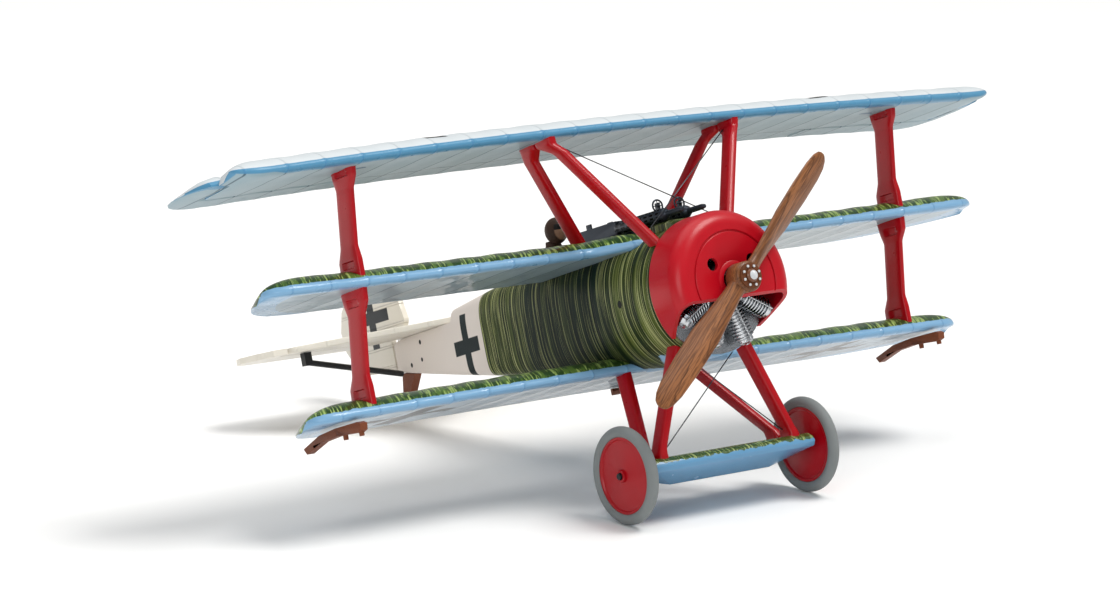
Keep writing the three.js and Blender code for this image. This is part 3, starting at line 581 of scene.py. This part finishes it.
def airfoil(t, side):
    """Height over the chord line: arched mean line plus or minus half the thickness at t."""
    half = 5 * thickness * (0.2969 * np.sqrt(t) - 0.126 * t - 0.3516 * t**2 + 0.2843 * t**3
                            - 0.1015 * t**4) + 0.2 / chord * t
    mean = np.where(t < 0.3, 0.05 * (0.6 * t - t * t) / 0.09, 0.05 * (0.4 + 0.6 * t - t * t) / 0.49)
    return mean + side * half


def wing_rings(spec, stations, steps=22):
    """Airfoil rings at span stations: chord position lerps leading to trailing by the square of
    the ring parameter, height is base + nose drop + depth times the airfoil + rib relief."""
    x = stations[:, None]
    s = np.linspace(-1, 1, 2 * steps + 1)[None, :]
    t, side = s**2 + 0 * x, -np.sign(s)

    def past(start, stop): return np.clip((np.abs(x) - start) / (stop - start), 0, 1)
    rounded = 1 - np.sqrt(1 - past(spec["straight"], spec["half"])**2)
    corner = 1 - np.sqrt(1 - past(spec["half"] - 5, spec["half"])**2)
    fair = np.minimum(spec["fairing"], np.maximum(0, 11 - np.abs(x)))
    lead = spec["leading"] - fair + 0.15 * chord * corner
    sweep = 1 - 0.5 * past(spec["straight"], spec["half"])**2 - 0.25 * rounded
    across_bay = np.sin(np.pi * x / rib_pitch)**2
    inner = 1 - past(spec["taper"] - 10, spec["taper"] - 6)
    trail = spec["leading"] + chord * sweep - 0.42 * across_bay * inner
    depth = chord * (0.2 + 0.8 * np.sqrt(1 - past(spec["taper"] - 9, spec["taper"])**2))
    if "lift" in spec:
        depth = depth * (0.1 + 0.9 * np.sqrt(1 - past(spec["half"] - 4.5, spec["half"])**2))
    base = spec["base"] + spec["bow"] * (x / 60)**2 + spec.get("lift", 0) * (chord - depth)
    sag = -0.11 * across_bay * inner * np.clip(t / 0.12, 0, 1) * np.clip((1 - t) / 0.1, 0, 1)
    from_rib = np.abs((x / rib_pitch + 0.5) % 1 - 0.5) * rib_pitch
    tape = 0.05 * np.clip(1.6 - from_rib / 0.3, 0, 1) * np.clip((0.09 - t) / 0.02, 0, 1) * inner
    y = lead + t * (trail - lead) - tape * (t < 0.01)
    z = base + 0.055 * chord * (1 - t) + depth * airfoil(t, side) + side * (sag + tape)
    s_tip = np.linspace(0, 1, 60)
    edge_y = spec["leading"] + chord * (1 - 0.5 * s_tip**2 - 0.25 * (1 - np.sqrt(1 - s_tip**2)))
    edge_x = spec["straight"] + s_tip * (spec["half"] - spec["straight"])
    from_tip = np.interp(-y, -edge_y, edge_x) - np.abs(x)
    cloth = np.stack([x + 0 * t, side * t * (trail - lead), from_tip], -1)
    return np.stack([x + 0 * t, y, z], -1), cloth


def span_stations(half, straight):
    """Span positions: twelve to a rib bay, seven of them close to the rib, and dense tips."""
    ribs = np.arange(-11, 12) * rib_pitch
    beside = np.array([-0.55, -0.45, -0.25, 0, 0.25, 0.45, 0.55, 1.6, 2.6, 3.25, 3.9, 4.9])
    fine = (ribs[:, None] + beside).ravel()
    fine = fine[np.abs(fine) < straight]
    tip = straight + (half - straight) * np.sin(np.linspace(0, np.pi / 2, 14))
    return np.unique(np.round(np.concatenate([-tip, fine, tip]), 4))


def cross_mark(u, v, reach, half_width):
    """1 inside a plain cross: either bar, at most reach long from the centre."""
    u, v = abs(u), abs(v)
    upright = u.below(half_width, 0.12) * v.below(reach, 0.12)
    level = v.below(half_width, 0.12) * u.below(reach, 0.12)
    return upright.most(level)


def wing_paint(nose, under, upper=None, top_cross=None, under_cross=None, tip_band=0.0,
               band_top=0.45, spar_line=0.0):
    """Colour by the cloth's own span and signed chord: a ragged nose band, thin dark lines along
    the ribs below, and above either the plain upper colour or, without one, green streaks."""
    streaks = upper is None

    def paint(at):
        span, chordwise, from_tip = at.own("cloth")
        ragged = (at.noise((0.9, 0.5, 0.5), 4) - 0.5) * (0.5 if streaks else 0.06)
        rise = abs(span).above(65, 5) * spar_line * 1.15
        band = (chordwise + ragged).below(band_top, 0.1) * (chordwise - rise).above(-1.3, 0.2)
        if tip_band:
            band = band.most((from_tip + ragged).below(tip_band, 0.15) * chordwise.below(0.0, 0.02))
        is_top = chordwise.above(0.0, 0.02)
        if streaks:
            slanted = Place(at.p.tree, (0, 0, np.radians(24)))
            line = slanted.noise((1.1, 0.10, 0.2), 3, 0.55)
            fine = slanted.noise((2.8, 0.16, 0.3), 3, 0.6, (40, 0, 0))
            cloud = at.noise((0.16, 0.3, 0.2), 2, 0.5, (0, 30, 0))
            shade = cloud.mix(rgb(0x1A3612), rgb(0x2C4A17))
            shade = (line.above(0.55, 0.08) * 0.85).mix(shade, rgb(0x56752F))
            top = (fine.above(0.57, 0.06) * 0.9).mix(shade, rgb(0x9DB565))
        from_rib = abs((span / rib_pitch + 0.5).fract() - 0.5) * rib_pitch
        lines = from_rib.below(0.15, 0.12)
        if not streaks:
            aged = at.noise((0.2, 0.12, 0.2), 4).above(0.5, 0.4) * 0.3
            top = (lines * 0.3).mix(aged.mix(upper, rgb(0xB7C0C4)), rgb(0x8B989E))
        stain = at.noise((0.25, 0.12, 0.2), 4).above(0.5, 0.5) * 0.25
        lower = (lines * 0.85).mix(stain.mix(under, rgb(0x87A0AE)), rgb(0x35505F))
        spar = abs(chordwise + 15.4).below(0.14, 0.1)
        lower = (spar * spar_line).mix(lower, rgb(0x2B4350))
        pad_x, pad_y = (abs(at.x) - 49.2) / 1.3, (at.y - 19.5) / 0.6
        pad = (pad_x * pad_x + pad_y * pad_y).below(1.0, 0.2)
        lower = (pad * spar_line).mix(lower, rgb(0x35617D))
        if under_cross:
            where = cross_mark(abs(at.x) - under_cross[0], at.y - under_cross[1], *under_cross[2:])
            lower = where.mix(lower, rgb(0x1B2022))
        if top_cross:
            where = cross_mark(abs(at.x) - top_cross[0], at.y - top_cross[1], *top_cross[2:])
            top = where.mix(top, rgb(0x1B2022))
        edge = (lines * 0.35).mix(nose, rgb(0x3F78A8))
        colour = band.mix(is_top.mix(lower, top), edge)
        height = at.noise((9, 9, 9), 2) * 0.02 + lines * 0.04
        return colour, at.noise((0.5, 0.5, 0.5)) * 0.14 + 0.22 + (1 - band) * 0.16, height
    return paint


paints = {
    "top_wing": dict(upper=rgb(0xC9CFD2), nose=rgb(0x4F88AA), under=rgb(0x8FA5AE),
                     top_cross=(37, 24, 8.3, 1.9), tip_band=0.4, band_top=0.3, spar_line=1.0),
    "middle_wing": dict(nose=rgb(0x78A4C6), under=rgb(0x94A7B3), tip_band=4.2),
    "lower_wing": dict(nose=rgb(0x78A4C6), under=rgb(0xA4B2BC), under_cross=(41, 31.5, 8, 1.7), tip_band=4.2),
}


def cover(name, rings, cloth, body, nodes, material):
    """A closed cloth skin over the rings, which keeps its own span and chord for the paint."""
    points, faces = rings_to_mesh(rings)
    piece(name, points, faces, body, nodes, material, cloth=cloth)


for name in ("middle_wing", "lower_wing"):
    spec = wings[name]
    rings, cloth = wing_rings(spec, span_stations(spec["half"], spec["straight"]))
    cover(name + "_cloth", rings, cloth, "airframe", name,
          coat(name + "_dope", wing_paint(**paints[name]), Coat_Weight=0.4, Coat_Roughness=0.08))

# The top wing stops short of the ailerons: behind the hinge line it is cut away outboard of
# the fifth rib from the tip, and the tip itself ends ahead of the balance horn.
top = wings["top_wing"]
hinge_y = top["leading"] + 15.4
aileron_root = 44.3
horn_root, horn_front = 71.2, 20.8


def aileron_front(x, gap):
    """Front edge of the aileron at span x less a gap: the hinge line, then the balance horn."""
    return np.where(np.abs(x) > horn_root - gap, horn_front - gap, hinge_y - gap)


def aileron_rear(x):
    """Rear edge: smooth through the outline's corners, with scallops between the ribs."""
    corners = np.array([(aileron_root, 34.3), (55, 34.8), (66, 35.4), (70, 35.4), (72.4, 34.9),
                        (73.6, 33.9), (74.3, 32.8), (74.9, 30.5)])
    smooth = np.interp(np.abs(x), *corners.T)
    return smooth - 0.42 * np.sin(np.pi * x / rib_pitch)**2 * (np.abs(x) < 68)


def clipped(spec, stations, front, rear, steps=22):
    """Rings from front to rear only: the heights are read off the whole wing's ring at the same
    chord positions, and the cloth starts behind the nose band except on the horn."""
    whole = wing_rings(spec, stations, steps)[0]
    along = np.concatenate([np.linspace(1, 0, steps + 1), np.linspace(0, 1, steps + 1)])
    side = np.where(np.arange(len(along)) <= steps, 1, -1)
    rings, cloth = [], []
    for station, ring, start, stop in zip(stations, whole, front, rear):
        y = start + (stop - start) * along
        over, under = ring[steps::-1], ring[steps:]
        z = np.concatenate([np.interp(y[:steps + 1], over[:, 1], over[:, 2]),
                            np.interp(y[steps + 1:], under[:, 1], under[:, 2])])
        rings.append(np.stack([station + 0 * y, y, z], -1))
        behind = y - start + 3.0 * (abs(station) < horn_root)
        cloth.append(np.stack([station + 0 * y, side * behind, 9 + 0 * y], -1))
    return np.array(rings), np.array(cloth)


stations = span_stations(top["half"], top["straight"])
step = np.array([aileron_root - 0.4, aileron_root - 0.35, 70.8, 70.85])
stations = np.unique(np.concatenate([stations, step, -step]))
rings, cloth = wing_rings(top, stations, 26)
cut = np.where(np.abs(stations) > aileron_root - 0.38, aileron_front(stations, 0.4), 99.0)
count = rings.shape[1] // 2
for half, order in ((slice(0, count + 1), -1), (slice(count, None), 1)):
    y, z, c = rings[:, half, 1], rings[:, half, 2], cloth[:, half, 1]
    for i in np.nonzero(y.max(1) > cut)[0]:
        line = y[i][::order]
        keep = np.minimum(line, cut[i])
        rings[i, half, 2] = np.interp(keep, line, z[i][::order])[::order]
        cloth[i, half, 1] = np.interp(keep, line, c[i][::order])[::order]
        rings[i, half, 1] = keep[::order]
cover("top_wing_cloth", rings, cloth, "airframe", "top_wing",
      coat("top_wing_dope", wing_paint(**paints["top_wing"]), Coat_Weight=0.1, Coat_Roughness=0.15))

# Ailerons: one each side, hinged behind the top wing, with a balance horn round its tip.
aileron_wing = dict(top, half=82)      # wide enough for the full thickness at the aileron's tip
aileron_paint = {key: paints["top_wing"][key] for key in ("upper", "nose", "under")}
aileron_dope = coat("aileron_dope", wing_paint(**aileron_paint), Coat_Weight=0.1)
for side, sign in (("port", 1), ("starboard", -1)):
    near_tip = [71.15, horn_root, 71.25, 73, 73.6, 74, 74.3, 74.6, 74.8, 74.9]
    span = np.unique(np.concatenate([np.arange(aileron_root, 74, 0.65), near_tip]))
    on_horn = span > 71.22
    horn_edge = np.interp(span, [horn_root, 73.6, 74.5, 74.9], [horn_front, 21, 22.8, 26])
    front = np.where(on_horn, horn_edge, hinge_y)
    rings, cloth = clipped(aileron_wing, span, front, aileron_rear(span))
    nose_length = np.where(on_horn, 3.5, 0.6)[:, None]
    nose_round = np.clip((rings[..., 1] - front[:, None]) / nose_length, 0, 1)
    middle_z = rings[..., 2].mean(1, keepdims=True)
    rings[..., 2] = middle_z + (rings[..., 2] - middle_z) * (0.12 + 0.88 * np.sqrt(nose_round))
    rings[..., 0] *= sign
    cloth[..., 0] *= sign
    cover("aileron_%s_cloth" % side, rings, cloth, "aileron_" + side, "aileron_" + side,
          aileron_dope)

# ---- Struts -------------------------------------------------------------------------------
# Cast metal struts of streamlined section, painted glossy red. They swell into sockets at both
# ends, which are fixed to the wings and the fuselage. Thin steel wires brace cabane and gear.
glossy_red = coat("strut_red", plain(0xAC0212, 0x9C010E, 0.24, 0.12, 0.015), Coat_Weight=0.18,
                  Coat_Roughness=0.1)


def smooth_path(stations, count):
    """Stations resampled along their z with a soft average, so that the flares are rounded."""
    s = np.array(stations, float)
    key = np.linspace(0, 1, len(s))
    length = np.concatenate([[0], np.cumsum(np.linalg.norm(np.diff(s[:, :3], axis=0), axis=1))])
    fine = np.linspace(0, length[-1], count)
    out = np.stack([np.interp(fine, length, s[:, i]) for i in range(5)], -1)
    kernel = np.array([1, 2, 3, 2, 1]) / 9
    for i in (3, 4):
        padded = np.pad(out[:, i], 2, mode="edge")
        out[:, i] = np.convolve(padded, kernel, "valid")
    return out


def strut_rings(stations, count=70, sides=40, recess=()):
    """A lens-like oval at each station of (x, y, z, chord, thickness), with square recesses."""
    path = smooth_path(stations, count)
    turn = np.linspace(0, 2 * np.pi, sides + 1)[None, :-1]
    x0, y0, z0, length, wide = (path[:, i:i + 1] for i in range(5))
    dx = wide / 2 * np.sign(np.cos(turn)) * np.abs(np.cos(turn))**0.55
    dy = length / 2 * np.sign(np.sin(turn)) * np.abs(np.sin(turn))**0.6
    for low, high, back, fore in recess:
        inside = (z0 > low) & (z0 < high) & (dy > back) & (dy < fore)
        dx = np.where(inside, dx * 0.62, dx)
    return np.stack([x0 + dx, y0 + dy, z0 + 0 * dx], -1)


def both_sides(name, rings):
    """The port strut and its mirror image, in glossy red."""
    for side, sign in (("port", 1), ("starboard", -1)):
        points, faces = rings_to_mesh(rings * [sign, 1, 1])
        node = "%s_%s" % (name, side)
        piece(node + "_cast", points, faces, "airframe", node, glossy_red)


def between_wings(stations, recess):
    """An upright strut of (y, z, chord, thickness) stations, well out along the wings."""
    strut_x = 52.3
    return strut_rings([(strut_x, *station) for station in stations], 120, 48, recess)


upper = [(21.5, 9.6, 5.5, 1.5), (21.4, 12.4, 5.4, 1.5), (21.1, 14.4, 4.1, 1.15), (19.4, 22.7, 4.1, 1.15),
         (19, 24.4, 5.5, 1.5), (18.9, 26.4, 6.1, 1.5)]
lower = [(24.9, -9.2, 5.6, 1.5), (24.8, -6, 5.4, 1.5), (24.4, -4.2, 4.1, 1.15), (22.5, 4.5, 4.1, 1.15),
         (22.1, 6.2, 5.8, 1.5), (22.1, 8.4, 6.4, 1.5)]
both_sides("upper_strut", between_wings(upper, ((11.2, 12.3, -1.6, 0.9), (24.4, 25.6, -1.6, 0.9))))
both_sides("lower_strut", between_wings(lower, ((-7.4, -6.2, -1.6, 0.9), (5.6, 6.8, -1.6, 0.9))))
both_sides("cabane_front", strut_rings([(6.6, 8, 7.5, 2.6, 1.6), (16.4, 14.3, 24, 2.6, 1.6),
                                        (17.6, 15.9, 25.4, 4, 1.9), (17.8, 15.9, 26.6, 4.2, 1.9)]))
both_sides("cabane_rear", strut_rings([(7, 26, 9.6, 2.7, 1.5), (16.6, 21.8, 24, 2.7, 1.5),
                                       (17.6, 20.2, 25.4, 3.8, 1.9), (17.8, 20.2, 26.6, 4, 1.9)]))
wire_grey = coat("wire_steel", plain(0x44484C, 0x5A5E62, 0.3, 0.1, 0.0), Metallic=0.8)
for node in ("cabane_wire_1", "cabane_wire_2", "gear_wire_1", "gear_wire_2"):
    finished(node, wire_grey, sharp=60)

# ---- Landing gear -------------------------------------------------------------------------
# Two vees of red strut hold a small painted wing that hides the steel axle. Red cloth-covered
# discs carry grey rubber tyres, and each wheel turns on its end of the axle.
both_sides("gear_front", strut_rings([(12.75, 9.5, -24.4, 3.3, 2.1), (12.7, 9.5, -23.5, 3.1, 1.9),
                                      (12.45, 9.46, -22.7, 2.7, 1.6), (6, 9, -7.5, 2.9, 1.7)], 90))
both_sides("gear_rear", strut_rings([(12.75, 13.1, -24.5, 3.2, 2.1), (12.7, 13.1, -23.6, 3, 1.9),
                                     (12.45, 13.4, -22.7, 2.6, 1.5), (6, 23.3, -9.3, 2.8, 1.6)], 90))


def axle_wing_paint(at):
    """Streaked green above and pale blue below, with a ragged edge between them."""
    ragged = (at.noise((0.9, 0.6, 0.6), 4) - 0.5) * 1.2
    top = (at.z + ragged).above(-24.9, 0.12)
    fine = at.noise((2.6, 0.3, 0.3), 3, 0.6)
    green = (fine.above(0.58, 0.08) * 0.85).mix(rgb(0x35501F), rgb(0x9DAE6C))
    colour = top.mix(rgb(0x5C8FB4), green)
    return colour, at.noise((0.5, 0.5, 0.5)) * 0.1 + 0.2, at.noise((8, 8, 8), 2) * 0.02


axle_wing_dope = coat("axle_wing_dope", axle_wing_paint, Coat_Weight=0.4, Coat_Roughness=0.12)
finished("axle_wing", axle_wing_dope, 42, 0.5, 4)
black = coat("axle_black", plain(0x1B1C1E, 0x26282A, 0.3, 0.15, 0.02))
finished("axle", black, bevel=0.15)
rubber = coat("tyre_grey", plain(0x7E8383, 0x727676, 0.5, 0.2, 0.05))
disc_red = coat("disc_red", plain(0xA80414, 0x980210, 0.26, 0.15, 0.02), Coat_Weight=0.15,
                Coat_Roughness=0.15)
tread = [(6.35 + 1.07 * np.cos(a), 0.98 * np.sin(a)) for a in np.linspace(-1.38, 1.38, 15)]
tyre = [(5.85, -0.55), (6.1, -0.8), *tread, (6.1, 0.8), (5.85, 0.55), (5.85, -0.55)]
disc = [(0.58, -0.9), (1.2, -0.92), (3.5, -0.6), (5.2, -0.32), (5.45, -0.5), (5.8, -0.5), (5.8, 0.5),
        (5.5, 0.52), (5.3, 0.28), (4.5, 0.3), (2.2, 0.52), (1.0, 0.62), (0.95, 1.0), (0.88, 1.05),
        (0.58, 1.05), (0.58, -0.9)]
for side, sign in (("port", 1), ("starboard", -1)):
    hub = (sign * 17.54, 12.02, -25.58)
    turned("tyre_%s_ring" % side, [(r, d * sign) for r, d in tyre], 128, "x", hub,
           "wheel_" + side, "tyre_" + side, rubber)
    turned("disc_%s_cover" % side, [(r, d * sign) for r, d in disc], 128, "x", hub,
           "wheel_" + side, "wheel_disc_" + side, disc_red)

# ---- Tail ---------------------------------------------------------------------------------
# Flat welded frames under cream linen: ribs show as low ridges. The elevator and the rounded,
# balanced rudder are hinged; the rudder carries a black cross.


def linen(at):
    """Cream cloth of slightly uneven tone."""
    return at.noise((0.12, 0.12, 0.12)).mix(rgb(0xDCD6C8), rgb(0xE6E0D4))


def tail_paint(at):
    """Cream with faint ridges over ribs that run fore and aft."""
    ridge = abs((at.x / 4.6 + 0.5).fract() - 0.5).below(0.07, 0.06)
    colour = (ridge * 0.08).mix(linen(at), rgb(0xC0BDB0))
    return colour, at.noise((0.4, 0.4, 0.4)) * 0.12 + 0.3, ridge * 0.1 + at.noise((6, 6, 6), 2) * 0.02


def rudder_paint(at):
    """Cream with a black cross and ridges over level ribs."""
    tone = linen(at)
    mark = cross_mark(at.y - 98.2, at.z - 10.6, 5.3, 1.05)
    ridge = abs((at.z / 3.4).fract() - 0.5).below(0.06, 0.05)
    return mark.mix(tone, rgb(0x1C2224)), at.noise((0.4, 0.4, 0.4)) * 0.12 + 0.3, ridge * 0.2


cream = coat("tail_dope", tail_paint, Coat_Weight=0.08)
finished("tailplane", cream, 30, 0.42, 4)
finished("elevator", cream, 30, 0.36, 4)
finished("rudder", coat("rudder_dope", rudder_paint, Coat_Weight=0.2), 30, 0.34, 4)
for side in ("port", "starboard"):
    finished("tail_strut_" + side, black, bevel=0.12)
brown = coat("skid_brown", plain(0x6A3620, 0x7A4329, 0.35, 0.2, 0.06))
finished("tail_skid", brown, bevel=0.2, segments=3)
for side in ("port", "starboard"):
    finished("wing_skid_" + side, brown, bevel=0.25, segments=3)
finished("boarding_step", brown, bevel=0.15)

# ---- Guns ---------------------------------------------------------------------------------
# A pair of air-cooled steel guns is mounted on the foredeck: slotted jacket, slim muzzle, breech
# box and a ring sight with crossed wires, all blued almost black.


def gun_paint(at):
    """Blued steel with rows of slots along the jacket, painted near black as the shade inside them."""
    slot = abs((at.y / 1.5).fract() - 0.5).below(0.3, 0.1)
    row = abs(((at.z - 12.35) / 0.55).fract() - 0.5).below(0.26, 0.1)
    # Painted shade: the slots are near-black patches with a dip in the bump, standing for the shade inside
    # the openings.
    hole = slot * row * at.y.inside(10.9, 22.0, 0.1)
    return hole.mix(rgb(0x3C4149), rgb(0x030304)), at.noise((1, 1, 1)) * 0.2 + 0.25, hole * -0.3


gun_metal = coat("gun_metal", gun_paint, Metallic=0.7)
a = np.linspace(0, 2 * np.pi, 13)
hoop = np.stack([0.92 + 0.15 * np.cos(a), 0.13 * np.sin(a)], -1)
bar = [(0, -0.8), (0.07, -0.8), (0.07, 0.8), (0, 0.8)]
for side, sign in (("port", 1), ("starboard", -1)):
    finished("machine_gun_" + side, gun_metal, 35, 0.08)
    sight = (2.1 * sign, 11.9, 13.9)
    points, faces = rings_to_mesh(lathe(hoop, 40, "y", sight), caps=False)
    for axis in "xz":
        bar_points, bar_faces = rings_to_mesh(lathe(bar, 10, axis, sight), caps=False)
        faces += [[k + len(points) for k in face] for face in bar_faces]
        points = np.concatenate([points, bar_points])
    piece("ring_sight_" + side, points, faces, "airframe", "machine_gun_" + side, gun_metal)

# ---- Camera, light and table --------------------------------------------------------------
# A long lens looks slightly down at the model from the starboard bow. The light is a broad soft
# sun, a soft box at the camera's side, another overhead, and a bright room. The table is white.
camera = bpy.data.objects.new("camera", bpy.data.cameras.new("camera"))
camera.location = (-0.34705, -0.47237, 0.13351)
camera.rotation_euler = Euler((np.radians(90 - 10.46), np.radians(0.19), np.radians(-36.69)), "XYZ")
camera.data.lens, camera.data.sensor_width = 119.47, 36.0
camera.data.clip_start, camera.data.clip_end = 0.01, 20.0
bpy.context.scene.collection.objects.link(camera)
bpy.context.scene.camera = camera


def area_light(name, place, aim, size, watts, colour=(1, 1, 1)):
    """A round soft box of a size in metres, aimed at a point."""
    lamp = bpy.data.lights.new(name, "AREA")
    lamp.shape, lamp.size, lamp.energy, lamp.color = "DISK", size, watts, colour
    made = bpy.data.objects.new(name, lamp)
    made.location = place
    made.rotation_euler = (Vector(aim) - Vector(place)).to_track_quat("-Z", "Y").to_euler()
    bpy.context.scene.collection.objects.link(made)


area_light("fill_softbox", (-0.55, -0.45, 0.30), (0, 0, 0.03), 0.40, 1.3, (0.95, 0.98, 1.0))
area_light("top_softbox", (-0.05, 0.15, 0.70), (0, 0, 0.0), 0.60, 1.5)
sun = bpy.data.lights.new("key_sky", "SUN")
sun.energy, sun.angle, sun.color = 2.3, np.radians(28), (1.0, 0.985, 0.96)
key = bpy.data.objects.new("key_sky", sun)
key.rotation_euler = Vector((-0.34, 0.30, -0.89)).to_track_quat("-Z", "Y").to_euler()
bpy.context.scene.collection.objects.link(key)

world = bpy.data.worlds.new("bright_room")
bpy.context.scene.world = world
world.use_nodes = True
world.node_tree.nodes["Background"].inputs["Color"].default_value = (1.0, 1.0, 1.0, 1)
world.node_tree.nodes["Background"].inputs["Strength"].default_value = 0.42
bpy.context.scene.view_settings.view_transform = "Standard"

table_mesh = bpy.data.meshes.new("table")
corners = [(-3, -3, -1e-4), (3, -3, -1e-4), (3, 3, -1e-4), (-3, 3, -1e-4)]
table_mesh.from_pydata(corners, [], [(0, 1, 2, 3)])
table = bpy.data.objects.new("table", table_mesh)
bpy.context.scene.collection.objects.link(table)


def table_paint(at):
    """Matt white with a hardly visible drift."""
    return at.noise((0.01, 0.01, 0.01)).above(0.5, 0.6).mix(rgb(0xF2F2F2), rgb(0xF5F5F4)), 0.75, None


table_mesh.materials.append(coat("table_white", table_paint))
